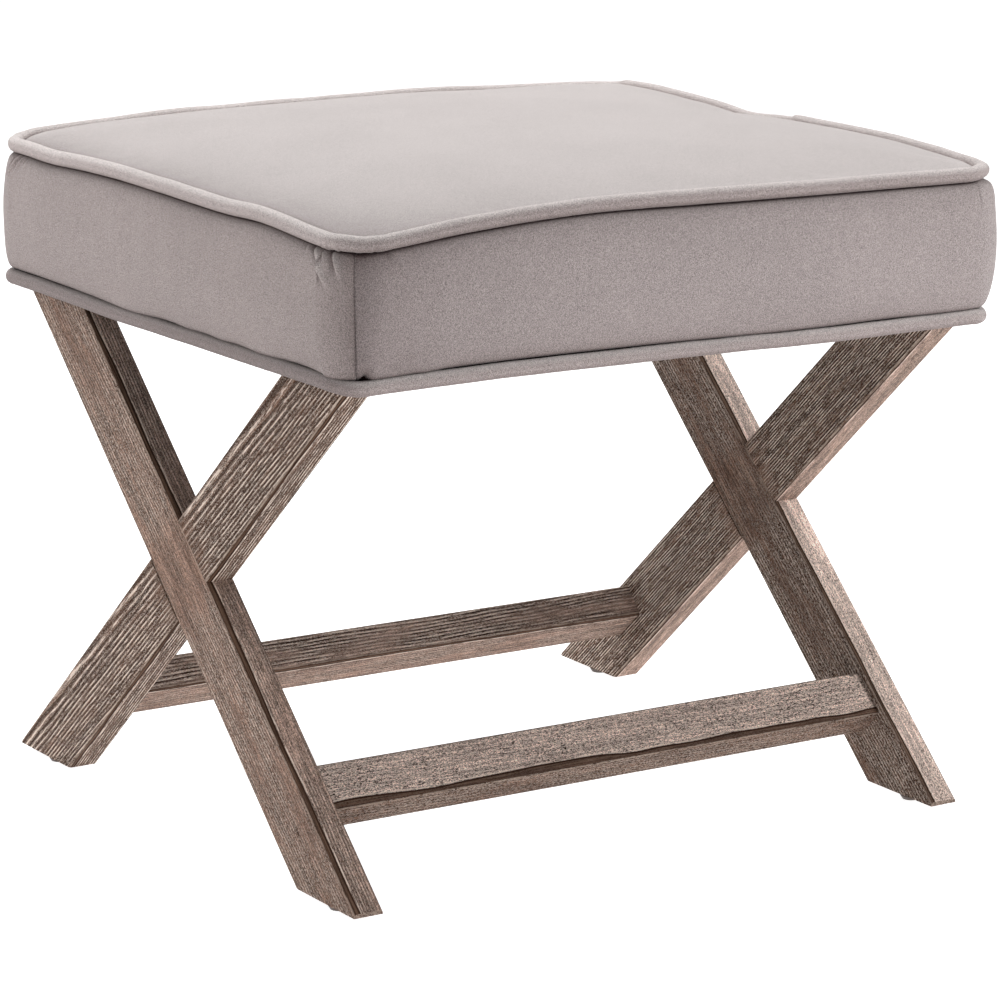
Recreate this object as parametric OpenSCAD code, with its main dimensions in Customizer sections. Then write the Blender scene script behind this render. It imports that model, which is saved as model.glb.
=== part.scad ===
// Upholstered stool: a piped box cushion on two crossed-leg frames joined by two stretchers.
// X runs along the stretchers, the front is at -Y, and Z = 0 is the floor under the glides.
// All sizes are in millimetres and all angles in degrees.

/* [Seat] */
// Length of the seat at the bottom piping's centre line
seat_l = 500; // [440:1:560]
// Depth of the seat at the bottom piping's centre line
seat_d = 446; // [400:1:490]
// How much longer the seat is at the top piping than at the bottom one
top_gain_l = -1; // [-6:0.5:6]
// How much deeper the seat is at the top piping than at the bottom one
top_gain_d = 8; // [-2:0.5:12]
// Height of the boxing, between the centre lines of the two pipings
boxing_h = 98; // [85:1:115]
// Radius of the seat's corners in plan, at the top piping
corner_r = 28; // [22:1:36]
// Radius of the seat's corners in plan, at the bottom piping
bottom_corner_r = 20; // [18:1:30]
// Outward bow of the top piping at the middle of each side
top_bow = 4.9; // [2:0.1:7]
// Outward bow of the bottom piping at the middle of each side
bottom_bow = 2.3; // [1:0.1:4]
// Swell of the boxing beyond its two seams
boxing_swell = 11; // [6:0.5:13]
// Rise of the crown above the top piping's reference height
crown_h = 14; // [8:0.5:20]

/* [Cover] */
// Thickness of the cover's cloth with its backing
cloth_t = 1.5; // [1:0.1:1.9]
// Diameter of the pipings
piping_d = 10; // [8:0.5:12]
// Thickness of the wadding under the top panel
wadding_t = 6; // [4:0.5:8]
// Gap between soft pieces that lie on each other
soft_gap = 0.3; // [0.2:0.05:0.6]
// Thickness of the cover's hem under the deck
hem_t = 1; // [0.6:0.1:1.4]
// Width of the cover's hem under the deck
hem_w = 28; // [24:1:34]
// Thickness of the dust cover's cloth
dust_t = 0.5; // [0.4:0.1:0.8]
// Distance from the deck's edge to the dust cover's edge
dust_inset = 6; // [4:1:9]

/* [Deck] */
// Thickness of the plywood deck
deck_t = 15; // [13:0.5:18]
// Distance from the bottom piping's centre line to the deck's edge
deck_inset = 6; // [5.5:0.1:8]
// Drop of the bottom piping's centre line below the deck's underside
piping_hang = 1.4; // [0.5:0.1:2.5]

/* [Leg frames] */
// Width of a leg across its broad face
leg_w = 50; // [44:1:54]
// Thickness of a leg, and so of a whole crossed frame
leg_t = 21; // [18:1:26]
// Height of the sawn leg tops above the floor
leg_top_h = 337.5; // [310:0.5:360]
// Height of the middle of the crossing above the floor
cross_h = 178; // [168:1:186]
// Distance from the deck's side edge to a frame's outer face
frame_inset = 5.5; // [3:0.5:12]
// Distance from the deck's front or back edge to a leg top's untrimmed tip
leg_top_inset = 7.6; // [5:0.1:14]
// Radius of the eased long edges of legs and stretchers
edge_r = 2; // [1:0.5:3]
// Length trimmed off the sharp tips of the sawn leg ends
tip_trim = 3; // [2:0.5:9]
// Gap at each shoulder of the halved crossing
lap_gap = 0.1; // [0.05:0.05:0.3]

/* [Stretchers] */
// Size of a stretcher's section along the leg that carries it
stretcher_w = 34; // [28:1:38]
// Size of a stretcher's section across the leg that carries it
stretcher_t = 24; // [20:1:28]
// Height of a stretcher's centre line above the floor
stretcher_h = 58.5; // [50:0.5:80]
// Distance from a leg's upper face down to a stretcher's upper face
stretcher_inset = 5; // [3:0.5:9]
// Diameter of the dowels at the stretchers' ends
dowel_d = 8; // [6:1:9]
// Distance between the two dowels of one joint
dowel_pitch = 14; // [12:1:16]
// Depth of the dowel holes in a leg
dowel_leg_depth = 14; // [10:1:16]
// Depth of the dowel holes in a stretcher
dowel_stretcher_depth = 22; // [18:1:28]

/* [Mounting plates] */
// Size of a steel mounting plate along X
plate_l = 58; // [54:1:64]
// Size of a steel mounting plate along Y
plate_d = 64; // [60:1:68]
// Thickness of a mounting plate
plate_t = 3; // [2:0.5:4]
// Radius of a mounting plate's corners
plate_r = 5; // [3:1:8]
// Distance from a leg top's untrimmed tip to the near edge of its plate
plate_setback = 6; // [5:1:9]
// Shank diameter of the seat bolts
bolt_d = 6; // [5:1:6]
// Length of a seat bolt under its head
bolt_l = 20; // [18:1:22]
// Distance between the two bolts of one plate
bolt_pitch = 38; // [34:1:42]
// Distance from a plate's inner edge to its bolts
bolt_edge = 14; // [12:1:16]
// Shank diameter of the plate screws
screw_d = 4.5; // [4:0.5:5]
// Length of a plate screw
screw_l = 36; // [30:1:38]
// Distance between the two screws of one plate
screw_pitch = 17; // [15:1:18]
// Distance from a leg top's untrimmed tip to the nearer screw
screw_setback = 45; // [43:1:48]

/* [Glides] */
// Height of a glide, from the floor to the leg's foot
glide_t = 5; // [4:0.5:6]
// Diameter of a glide
glide_d = 14; // [12:1:17]
// Length of a glide's nail in the leg
nail_l = 18; // [14:1:22]

/* [Hidden] */
$fn = 48;

// Colours
wood_colour = [0.45, 0.38, 0.33];
inner_wood_colour = [0.80, 0.66, 0.47];
cloth_colour = [0.67, 0.63, 0.62];
panel_colour = [0.76, 0.73, 0.72];
foam_colour = [0.93, 0.88, 0.66];
wadding_colour = [0.94, 0.94, 0.92];
steel_colour = [0.62, 0.63, 0.65];
dust_colour = [0.10, 0.10, 0.11];
glide_colour = [0.16, 0.13, 0.12];

// One overrun serves every cut
cut = 1;

// Heights, from the leg tops up
dust_z = leg_top_h + plate_t;
hem_z = dust_z + dust_t;
deck_z = hem_z + hem_t;
deck_top_z = deck_z + deck_t;
bottom_piping_z = deck_z - piping_hang;
top_piping_z = bottom_piping_z + boxing_h;
crown_z = top_piping_z + crown_h;
piping_r = piping_d / 2;

// Deck and frames in plan
deck_half_l = seat_l / 2 - deck_inset;
deck_half_d = seat_d / 2 - deck_inset;
deck_r = bottom_corner_r - deck_inset;
frame_x = deck_half_l - frame_inset - leg_t / 2;

// The lean from upright that brings the leg tops to their place under the deck
top_reach = deck_half_d - leg_top_inset;
top_rise = leg_top_h - cross_h;
leg_lean = acos(leg_w / 2 / sqrt(top_reach * top_reach + top_rise * top_rise)) - atan2(top_rise, top_reach);
sole_half = leg_w / 2 / cos(leg_lean);
sole_mid = (cross_h - glide_t) * tan(leg_lean);
foot_reach = sole_mid + sole_half;
leg_bar_l = 2 * (leg_top_h + leg_w);
glide_y = sole_mid - tip_trim / 2;

// A stretcher's centre in its leg's own directions: across, and down from the crossing
stretcher_up = leg_w / 2 - stretcher_inset - stretcher_t / 2;
stretcher_down = (cross_h + stretcher_up * sin(leg_lean) - stretcher_h) / cos(leg_lean);
stretcher_l = 2 * frame_x - leg_t;

// Dowels and their holes
dowel_gap = 0.1;
dowel_end_gap = 1;
dowel_l = dowel_leg_depth + dowel_stretcher_depth - 2 * dowel_end_gap;
dowel_chamfer = 0.8;

// Proportions of the hardware, as shares of a shank's diameter
bolt_hole_share = 1.08;
head_width_share = 1.75;
head_height_share = 0.55;
key_width_share = 0.77;
key_depth_share = 0.3;
washer_width_share = 2.1;
washer_height_share = 0.27;
nut_barrel_share = 1.35;
nut_flange_share = 3.1;
screw_head_share = 2;
screw_tip_share = 1.2;

// Plates, bolts and screws, for the corner at -X and -Y
plate_x = -(frame_x + leg_t / 2) + plate_l / 2;
plate_y = -(top_reach - plate_setback) + plate_d / 2;
bolt_x = plate_x + plate_l / 2 - bolt_edge;
bolt_hole_d = bolt_hole_share * bolt_d;
head_d = head_width_share * bolt_d;
head_t = head_height_share * bolt_d;
head_rim = head_d - head_t;
key_d = key_width_share * bolt_d;
key_depth = key_depth_share * bolt_d;
washer_d = washer_width_share * bolt_d;
washer_t = washer_height_share * bolt_d;
thread_gap = 0.05;
nut_barrel_d = nut_barrel_share * bolt_d;
nut_barrel_l = 11;
nut_flange_d = nut_flange_share * bolt_d;
nut_flange_t = 1.5;
nut_gap = 0.1;
screw_head_d = screw_head_share * screw_d;
screw_head_t = (screw_head_d - screw_d) / 2;
screw_tip_l = screw_tip_share * screw_d;
screw_gap = 0.05;

// Glides and their nails
glide_foot_share = 0.78;
glide_top_share = 0.9;
nail_d = 2.4;
nail_head_d = 7;
nail_head_t = 1.2;
nail_tip_l = 3;
nail_gap = 0.05;

// Staples through the dust cover and the hem
staple_w = 10;
staple_wire = 0.7;
staple_depth = 6;
staple_inset = 14;
staple_gap = 0.05;
staple_pitch = 55;

// Soft forms: stations round the outline, and rows up the boxing and in from the rim
side_n = 12;
corner_n = 6;
run_n = side_n + corner_n;
ring_n = 4 * run_n;
piping_sides = 8;
boxing_shares = [0, 0.06, 0.2, 0.5, 0.8, 0.94, 1];
rim_shares = [1, 0.965, 0.87, 0.68, 0.36];
crown_power = 4;
swell_power = 0.6;
band_tuck = 2;
panel_lift = 2;
seam_gap = 0.4;

// Heights of the top piping, by hand: each side's middle, and each corner's drop,
// both from the reference height and in the order of the stations
side_rises = [0, -2.1, -1.9, -6.7];
corner_drops = [12.5, 5.3, 4.1, 11.3];
bottom_rises = [0, 0, 0, 0];
bottom_drops = [2, 2, 2, 2];
arch_share = 0.76;

// Outline of the seat. Side 0 is the front, then right, back and left. A run is one side
// and the corner at its end, and station i has a run and a place in it.
function quarter_turn(k, x, y) = k == 0 ? [x, y] : k == 1 ? [-y, x] : k == 2 ? [-x, -y] : [y, -x];
function run_of(i) = floor((i % ring_n) / run_n);
function place_of(i) = (i % ring_n) % run_n;
function corner_angle(j) = -90 + 90 * (j - side_n) / corner_n;
function side_place(j) = 2 * j / side_n - 1;

// Outward direction at station i
function outward(i) =
    let (k = run_of(i), j = place_of(i))
    j < side_n ? quarter_turn(k, 0, -1) : quarter_turn(k, cos(corner_angle(j)), sin(corner_angle(j)));

// Point at station i of an outline with half sizes a and b
function outline(i, a, b, bow, r) =
    let (k = run_of(i), j = place_of(i),
         along = (k % 2 == 0 ? a : b) - r,
         out = k % 2 == 0 ? b : a,
         s = side_place(j))
    j < side_n
        ? quarter_turn(k, s * along, -out - bow * (1 - s * s))
        : quarter_turn(k, along + r * cos(corner_angle(j)), r - out + r * sin(corner_angle(j)));

// Share of the fall from a side's middle to its corner, at a place from -1 to 1
function fall_share(p) = arch_share * pow(p, 2) + (1 - arch_share) * pow(abs(p), 8);

// Height of a piping at station i above its reference height
function wave(i, a, b, r, rises, drops) =
    let (k = run_of(i), j = place_of(i), next = (k + 1) % 4,
         half = k % 2 == 0 ? a : b,
         half_next = k % 2 == 0 ? b : a,
         p = side_place(j) * (half - r) / half,
         drop = j < side_n && p < 0 ? drops[k] : drops[next],
         f = (j - side_n) / corner_n,
         end_z = rises[k] - (drop + rises[k]) * fall_share((half - r) / half),
         start_z = rises[next] - (drop + rises[next]) * fall_share((half_next - r) / half_next))
    j < side_n
        ? rises[k] - (drop + rises[k]) * fall_share(p)
        : end_z * (1 - f) + start_z * f - (drop + (end_z + start_z) / 2) * sin(180 * f);

function piping_path(a, b, bow, r, z, rises, drops) =
    [for (i = [0 : ring_n - 1])
        let (p = outline(i, a, b, bow, r)) [p.x, p.y, z + wave(i, a, b, r, rises, drops)]];

directions = [for (i = [0 : ring_n - 1]) outward(i)];
bottom_path = piping_path(seat_l / 2, seat_d / 2, bottom_bow, bottom_corner_r, bottom_piping_z,
                          bottom_rises, bottom_drops);
top_path = piping_path((seat_l + top_gain_l) / 2, (seat_d + top_gain_d) / 2, top_bow, corner_r,
                       top_piping_z, side_rises, corner_drops);

// Point beside the piping at station i: out is level and outwards, up is straight up
function beside(path, i, out, up) =
    let (p = path[i % ring_n], d = directions[i % ring_n]) [p.x + d.x * out, p.y + d.y * out, p.z + up];

// Point on the boxing's outer face, at share t of the way up between its two seams
function boxing_point(i, t, inset) =
    let (swell = boxing_swell * pow(4 * t * (1 - t), swell_power) - band_tuck - inset,
         low = beside(bottom_path, i, swell, piping_r),
         high = beside(top_path, i, swell, -piping_r))
    low + (high - low) * t;

// Point under or on the top panel: share g runs from the middle to the rim
function crown_point(i, g, depth) =
    let (rim = beside(top_path, i, -(piping_r + seam_gap), panel_lift))
    [rim.x * g, rim.y * g, crown_z - (crown_z - rim.z) * pow(g, crown_power) - depth];

// Solids from rings of points
function quad(a, b, c, d) = [[a, b, c], [a, c, d]];

// Closed skin from a low pole, through rings that turn anticlockwise from above, to a high pole
module lofted(low_pole, rings, high_pole) {
    n = len(rings[0]);
    rows = len(rings);
    points = concat([low_pole], [for (ring = rings) each ring], [high_pole]);
    faces = concat(
        [for (i = [0 : n - 1]) [0, 1 + i, 1 + (i + 1) % n]],
        [for (r = [0 : rows - 2], i = [0 : n - 1])
            each quad(1 + r * n + i, 1 + (r + 1) * n + i,
                      1 + (r + 1) * n + (i + 1) % n, 1 + r * n + (i + 1) % n)],
        [for (i = [0 : n - 1]) [1 + rows * n, 1 + (rows - 1) * n + (i + 1) % n, 1 + (rows - 1) * n + i]]);
    polyhedron(points, faces);
}

// Tube round a closed path
module closed_tube(path, r) {
    points = [for (i = [0 : ring_n - 1], k = [0 : piping_sides - 1])
        let (turn = 360 * (k + 0.5) / piping_sides) beside(path, i, r * cos(turn), r * sin(turn))];
    faces = [for (i = [0 : ring_n - 1], k = [0 : piping_sides - 1])
        let (next = (i + 1) % ring_n, up = (k + 1) % piping_sides)
        each quad(i * piping_sides + k, i * piping_sides + up,
                  next * piping_sides + up, next * piping_sides + k)];
    polyhedron(points, faces);
}

// One side of the boxing, from the middle of one corner to the middle of the next
module band(k) {
    rows = len(boxing_shares);
    size = 2 * rows;
    first = k * run_n - corner_n / 2 + ring_n;
    sections = [for (i = [first : first + run_n])
        concat([for (t = boxing_shares) boxing_point(i, t, 0)],
               [for (m = [rows - 1 : -1 : 0]) boxing_point(i, boxing_shares[m], cloth_t)])];
    points = [for (section = sections) each section];
    last = run_n * size;
    faces = concat(
        [for (i = [0 : run_n - 1], m = [0 : size - 1])
            let (up = (m + 1) % size)
            each quad(i * size + m, i * size + up, (i + 1) * size + up, (i + 1) * size + m)],
        [for (m = [0 : rows - 2]) each quad(m, size - 1 - m, size - 2 - m, m + 1)],
        [for (m = [0 : rows - 2])
            each quad(last + m, last + m + 1, last + size - 2 - m, last + size - 1 - m)]);
    color(cloth_colour) polyhedron(points, faces);
}

// A sheet that follows the crown, between two depths under its face
module crown_sheet(upper, lower) {
    lofted([0, 0, crown_z - lower],
           concat([for (m = [len(rim_shares) - 1 : -1 : 0])
                      [for (i = [0 : ring_n - 1]) crown_point(i, rim_shares[m], lower)]],
                  [for (g = rim_shares) [for (i = [0 : ring_n - 1]) crown_point(i, g, upper)]]),
           [0, 0, crown_z - upper]);
}

module top_panel() {
    color(panel_colour) crown_sheet(0, cloth_t);
}

module wadding() {
    color(wadding_colour) crown_sheet(cloth_t + soft_gap, cloth_t + soft_gap + wadding_t);
}

module foam_pad() {
    depth = cloth_t + soft_gap + wadding_t + soft_gap;
    inset = cloth_t + soft_gap;
    rows = len(boxing_shares);
    side = [for (m = [2 : rows - 2]) [for (i = [0 : ring_n - 1]) boxing_point(i, boxing_shares[m], inset)]];
    base = [for (i = [0 : ring_n - 1])
        let (p = boxing_point(i, boxing_shares[1], inset)) [p.x, p.y, deck_top_z]];
    crown = [for (g = rim_shares) [for (i = [0 : ring_n - 1]) crown_point(i, g, depth)]];
    color(foam_colour)
        lofted([0, 0, deck_top_z], concat([base], side, crown),
               [0, 0, crown_z - depth]);
}

module top_piping() {
    color(cloth_colour) closed_tube(top_path, piping_r);
}

module bottom_piping() {
    color(cloth_colour) closed_tube(bottom_path, piping_r);
}

// Rounded rectangle centred on the origin
module rounded_rectangle(l, d, r) {
    square([l - 2 * r, d], center = true);
    square([l, d - 2 * r], center = true);
    for (sx = [-1, 1], sy = [-1, 1])
        translate([sx * (l / 2 - r), sy * (d / 2 - r)]) circle(r = r);
}

// The deck's plan, drawn in by an inset
module deck_plan(inset) {
    rounded_rectangle(2 * (deck_half_l - inset), 2 * (deck_half_d - inset), deck_r - inset);
}

// Bar with eased long edges, centred, along Z
module eased_bar(size_x, size_y, length) {
    linear_extrude(height = length, center = true) rounded_rectangle(size_x, size_y, edge_r);
}

// Copies a piece made at the corner at -X and -Y to the other corners
module to_corner(side, end) {
    mirror([side > 0 ? 1 : 0, 0, 0]) mirror([0, end > 0 ? 1 : 0, 0]) children();
}

module each_corner() {
    for (side = [-1, 1], end = [-1, 1]) to_corner(side, end) children();
}

module at_bolts() {
    for (s = [-1, 1]) translate([bolt_x, plate_y + s * bolt_pitch / 2, 0]) children();
}

module at_screws() {
    for (s = [0, 1])
        translate([-frame_x, screw_setback + s * screw_pitch - top_reach, dust_z]) children();
}

// Directions of a leg with its foot at the front: Z up along the leg, Y to its underside
module along_leg() {
    translate([0, 0, cross_h]) rotate([-leg_lean, 0, 0]) children();
}

module at_dowels() {
    for (s = [-1, 1])
        translate([0, -stretcher_up, s * dowel_pitch / 2 - stretcher_down]) rotate([0, 90, 0]) children();
}

// A leg with its foot at the front, in a frame whose inner face is at +X.
// The halving is cut from the inner face if lap is 1, and from the outer face if it is -1.
module leg(lap) {
    lap_depth = leg_t / 2 + cut;
    color(wood_colour)
        difference() {
            intersection() {
                along_leg() eased_bar(leg_t, leg_w, leg_bar_l);
                translate([-leg_t / 2 - cut, tip_trim - foot_reach, glide_t])
                    cube([leg_t + 2 * cut, foot_reach + top_reach - 2 * tip_trim, leg_top_h - glide_t]);
            }
            translate([lap * lap_depth / 2, 0, cross_h]) rotate([leg_lean, 0, 0])
                cube([lap_depth, leg_w + 2 * lap_gap, leg_bar_l], center = true);
            translate([leg_t / 2 - dowel_leg_depth, 0, 0]) along_leg() at_dowels()
                cylinder(d = dowel_d + 2 * dowel_gap, h = dowel_leg_depth + cut);
            mirror([0, 1, 0]) translate([frame_x, 0, 0]) at_screws() screw_shape(screw_gap, screw_gap);
            translate([0, -glide_y, 0]) nail_shape(nail_gap);
        }
}

module left_front_leg() {
    translate([-frame_x, 0, 0]) leg(1);
}

module left_back_leg() {
    translate([-frame_x, 0, 0]) mirror([0, 1, 0]) leg(-1);
}

module right_back_leg() {
    rotate([0, 0, 180]) left_front_leg();
}

module right_front_leg() {
    rotate([0, 0, 180]) left_back_leg();
}

module front_stretcher() {
    color(wood_colour)
        difference() {
            along_leg() translate([0, -stretcher_up, -stretcher_down]) rotate([0, 90, 0])
                eased_bar(stretcher_w, stretcher_t, stretcher_l);
            for (end = [0, 1])
                mirror([end, 0, 0]) translate([-stretcher_l / 2 - cut, 0, 0]) along_leg() at_dowels()
                    cylinder(d = dowel_d + 2 * dowel_gap, h = dowel_stretcher_depth + cut);
        }
}

module back_stretcher() {
    rotate([0, 0, 180]) front_stretcher();
}

module stretcher_dowels() {
    color(inner_wood_colour)
        each_corner()
            translate([-frame_x + leg_t / 2 - dowel_leg_depth + dowel_end_gap, 0, 0])
                along_leg() at_dowels() {
                    translate([0, 0, dowel_chamfer])
                        cylinder(d = dowel_d, h = dowel_l - 2 * dowel_chamfer);
                    cylinder(d1 = dowel_d - 2 * dowel_chamfer, d2 = dowel_d, h = dowel_chamfer);
                    translate([0, 0, dowel_l - dowel_chamfer])
                        cylinder(d1 = dowel_d, d2 = dowel_d - 2 * dowel_chamfer, h = dowel_chamfer);
                }
}

// Countersunk screw, head up, with its head's face at Z = 0
module screw_shape(gap, end_gap) {
    translate([0, 0, -screw_head_t])
        cylinder(d1 = screw_d + 2 * gap, d2 = screw_head_d + 2 * gap, h = screw_head_t);
    translate([0, 0, screw_tip_l - screw_l]) cylinder(d = screw_d + 2 * gap, h = screw_l - screw_tip_l);
    translate([0, 0, -screw_l - end_gap])
        cylinder(d1 = screw_gap, d2 = screw_d + 2 * gap, h = screw_tip_l + end_gap);
}

module mounting_plate() {
    color(steel_colour)
        difference() {
            translate([plate_x, plate_y, leg_top_h])
                linear_extrude(height = plate_t) rounded_rectangle(plate_l, plate_d, plate_r);
            at_screws() screw_shape(screw_gap, screw_gap);
            translate([0, 0, leg_top_h - cut]) at_bolts() cylinder(d = bolt_hole_d, h = plate_t + 2 * cut);
        }
}

module plate_screws() {
    color(steel_colour) each_corner() at_screws() screw_shape(0, 0);
}

module seat_bolts() {
    color(steel_colour)
        each_corner() at_bolts()
            translate([0, 0, leg_top_h - washer_t]) {
                cylinder(d = bolt_d, h = bolt_l);
                mirror([0, 0, 1])
                    difference() {
                        cylinder(d1 = head_d, d2 = head_rim, h = head_t);
                        translate([0, 0, head_t - key_depth])
                            cylinder(d = key_d, h = key_depth + cut, $fn = 6);
                    }
            }
}

module bolt_washers() {
    color(steel_colour)
        each_corner() at_bolts()
            translate([0, 0, leg_top_h - washer_t])
                difference() {
                    cylinder(d = washer_d, h = washer_t);
                    translate([0, 0, -cut]) cylinder(d = bolt_hole_d, h = washer_t + 2 * cut);
                }
}

module t_nut_shape(gap) {
    translate([0, 0, deck_top_z - nut_flange_t - nut_barrel_l])
        cylinder(d = nut_barrel_d + 2 * gap, h = nut_barrel_l);
    translate([0, 0, deck_top_z - nut_flange_t]) cylinder(d = nut_flange_d + 2 * gap, h = nut_flange_t);
}

module t_nuts() {
    color(steel_colour)
        each_corner() at_bolts()
            difference() {
                t_nut_shape(0);
                translate([0, 0, deck_z]) cylinder(d = bolt_d + 2 * thread_gap, h = deck_t + cut);
            }
}

// Rows of staples between the mounting plates
module at_staples() {
    x_row = deck_half_l - staple_inset;
    y_row = deck_half_d - staple_inset;
    x_run = -plate_x - plate_l / 2 - staple_w;
    y_run = -plate_y - plate_d / 2 - staple_w;
    x_n = floor(x_run / staple_pitch);
    y_n = floor(y_run / staple_pitch);
    for (end = [-1, 1], k = [-x_n : x_n])
        translate([k * x_run / x_n, end * y_row, dust_z]) children();
    for (side = [-1, 1], k = [-y_n : y_n])
        translate([side * x_row, k * y_run / y_n, dust_z]) rotate([0, 0, 90]) children();
}

module staple_legs(gap) {
    for (s = [-1, 1])
        translate([s * (staple_w - staple_wire) / 2, 0, staple_depth / 2 + gap])
            cube([staple_wire + 2 * gap, staple_wire + 2 * gap, staple_depth + 2 * gap], center = true);
}

module staples() {
    color(steel_colour)
        at_staples() {
            translate([0, 0, -staple_wire / 2]) cube([staple_w, staple_wire, staple_wire], center = true);
            staple_legs(0);
        }
}

module seat_deck() {
    color(inner_wood_colour)
        difference() {
            translate([0, 0, deck_z]) linear_extrude(height = deck_t) deck_plan(0);
            each_corner() at_bolts() {
                translate([0, 0, deck_z - cut]) cylinder(d = nut_barrel_d + 2 * nut_gap, h = deck_t + 2 * cut);
                translate([0, 0, deck_top_z - nut_flange_t])
                    cylinder(d = nut_flange_d + 2 * nut_gap, h = nut_flange_t + cut);
            }
            at_staples() staple_legs(staple_gap);
        }
}

module cover_hem() {
    color(cloth_colour)
        difference() {
            translate([0, 0, hem_z])
                linear_extrude(height = hem_t)
                    difference() {
                        deck_plan(0);
                        square([2 * (deck_half_l - hem_w), 2 * (deck_half_d - hem_w)], center = true);
                    }
            translate([0, 0, hem_z - cut])
                each_corner() at_bolts() cylinder(d = bolt_hole_d, h = hem_t + 2 * cut);
            at_staples() staple_legs(staple_gap);
        }
}

module dust_cover() {
    color(dust_colour)
        difference() {
            translate([0, 0, dust_z]) linear_extrude(height = dust_t) deck_plan(dust_inset);
            translate([0, 0, dust_z - cut])
                each_corner() at_bolts() cylinder(d = bolt_hole_d, h = dust_t + 2 * cut);
            at_staples() staple_legs(staple_gap);
        }
}

// Plastic glide with its flat sole on the floor
module glide() {
    r = glide_d / 2;
    color(glide_colour)
        difference() {
            rotate_extrude()
                polygon([[0, 0], [r * glide_foot_share, 0], [r, glide_t / 2], [r * glide_top_share, glide_t],
                         [0, glide_t]]);
            nail_shape(nail_gap);
        }
}

// Nail with its head under the leg's foot
module nail_shape(gap) {
    translate([0, 0, glide_t - nail_head_t]) cylinder(d = nail_head_d + 2 * gap, h = nail_head_t);
    translate([0, 0, glide_t - nail_head_t]) cylinder(d = nail_d + 2 * gap, h = nail_head_t + nail_l - nail_tip_l);
    translate([0, 0, glide_t + nail_l - nail_tip_l])
        cylinder(d1 = nail_d + 2 * gap, d2 = nail_gap, h = nail_tip_l + gap);
}

module at_foot() {
    translate([-frame_x, -glide_y, 0]) children();
}

module glide_nails() {
    color(steel_colour) each_corner() at_foot() nail_shape(0);
}

left_front_leg();
left_back_leg();
right_front_leg();
right_back_leg();
front_stretcher();
back_stretcher();
stretcher_dowels();
to_corner(-1, -1) mounting_plate();  // left_front_plate
to_corner(-1, 1) mounting_plate();  // left_back_plate
to_corner(1, -1) mounting_plate();  // right_front_plate
to_corner(1, 1) mounting_plate();  // right_back_plate
plate_screws();
seat_bolts();
bolt_washers();
t_nuts();
seat_deck();
foam_pad();
wadding();
top_panel();
band(0);  // front_band
band(1);  // right_band
band(2);  // back_band
band(3);  // left_band
top_piping();
bottom_piping();
cover_hem();
dust_cover();
staples();
to_corner(-1, -1) at_foot() glide();  // left_front_glide
to_corner(-1, 1) at_foot() glide();  // left_back_glide
to_corner(1, -1) at_foot() glide();  // right_front_glide
to_corner(1, 1) at_foot() glide();  // right_back_glide
glide_nails();
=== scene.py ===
"""Looks of an upholstered stool: a piped velvet box cushion on two crossed-leg frames.

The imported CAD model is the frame. The legs, stretchers and hardware keep their CAD shapes and get materials
here. The cushion's cloth pieces are built here in full and replace the plain soft solids. Sizes are in
millimetres until a mesh is made.
"""

import math
from collections import namedtuple

import bpy
import numpy as np
from mathutils import Matrix, Vector, noise


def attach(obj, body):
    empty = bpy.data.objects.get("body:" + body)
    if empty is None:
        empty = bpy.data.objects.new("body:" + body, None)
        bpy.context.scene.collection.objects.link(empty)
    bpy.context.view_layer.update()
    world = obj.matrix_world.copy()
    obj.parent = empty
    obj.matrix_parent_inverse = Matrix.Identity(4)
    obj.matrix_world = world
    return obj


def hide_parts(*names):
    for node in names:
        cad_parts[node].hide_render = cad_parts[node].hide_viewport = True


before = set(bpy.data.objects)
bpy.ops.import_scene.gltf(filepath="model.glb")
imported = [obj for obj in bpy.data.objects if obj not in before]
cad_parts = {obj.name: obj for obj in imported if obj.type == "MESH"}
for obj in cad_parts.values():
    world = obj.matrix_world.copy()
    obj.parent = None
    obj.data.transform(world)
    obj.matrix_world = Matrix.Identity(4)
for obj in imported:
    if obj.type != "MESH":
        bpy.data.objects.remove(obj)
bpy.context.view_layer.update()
MM = 0.001
BODY = "root"

# Sizes, as in the part's source. Lists go round the seat: its sides are front, right, back and left, and its
# corners start with the front left one, where the front begins.
SEAT_L, SEAT_D = 500.0, 446.0
TOP_L, TOP_D = 499.0, 454.0
TOP_R, BOTTOM_R = 28.0, 20.0
TOP_BOW, BOTTOM_BOW = 4.9, 2.3
BOXING_SWELL = 11.0
PIPING_R = 5.0
CLOTH_T = 1.5
BAND_TUCK = 2.0
BOTTOM_Z, TOP_Z, CROWN_Z = 340.6, 438.6, 452.6
CROWN_POWER = 4.0
PANEL_LIFT = 2.0
SIDE_RISES = np.array([0, -2.1, -1.9, -6.7])
CORNER_DROPS = np.array([12.5, 5.3, 4.1, 11.3])
BOTTOM_RISES = np.zeros(4)
BOTTOM_DROPS = np.full(4, 2.0)
ARCH_SHARE = 0.76
DECK_Z, DECK_T = 342.0, 15.0
FRAME_X, CROSS_H = 228.0, 178.0
LEG_LEAN = math.radians(47.2536)
LEG_W, LEG_T = 50.0, 21.0
STRETCHER_UP, STRETCHER_DOWN = 8.0, 184.713
LEG_HALF, STRETCHER_HALF = (LEG_W / 2, LEG_T / 2), (12.0, 17.0)
# Places round the seat are counted in stations, so many for each side and for the corner after it
SIDE_N, CORNER_N = 12, 6
RUN_N = SIDE_N + CORNER_N

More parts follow.
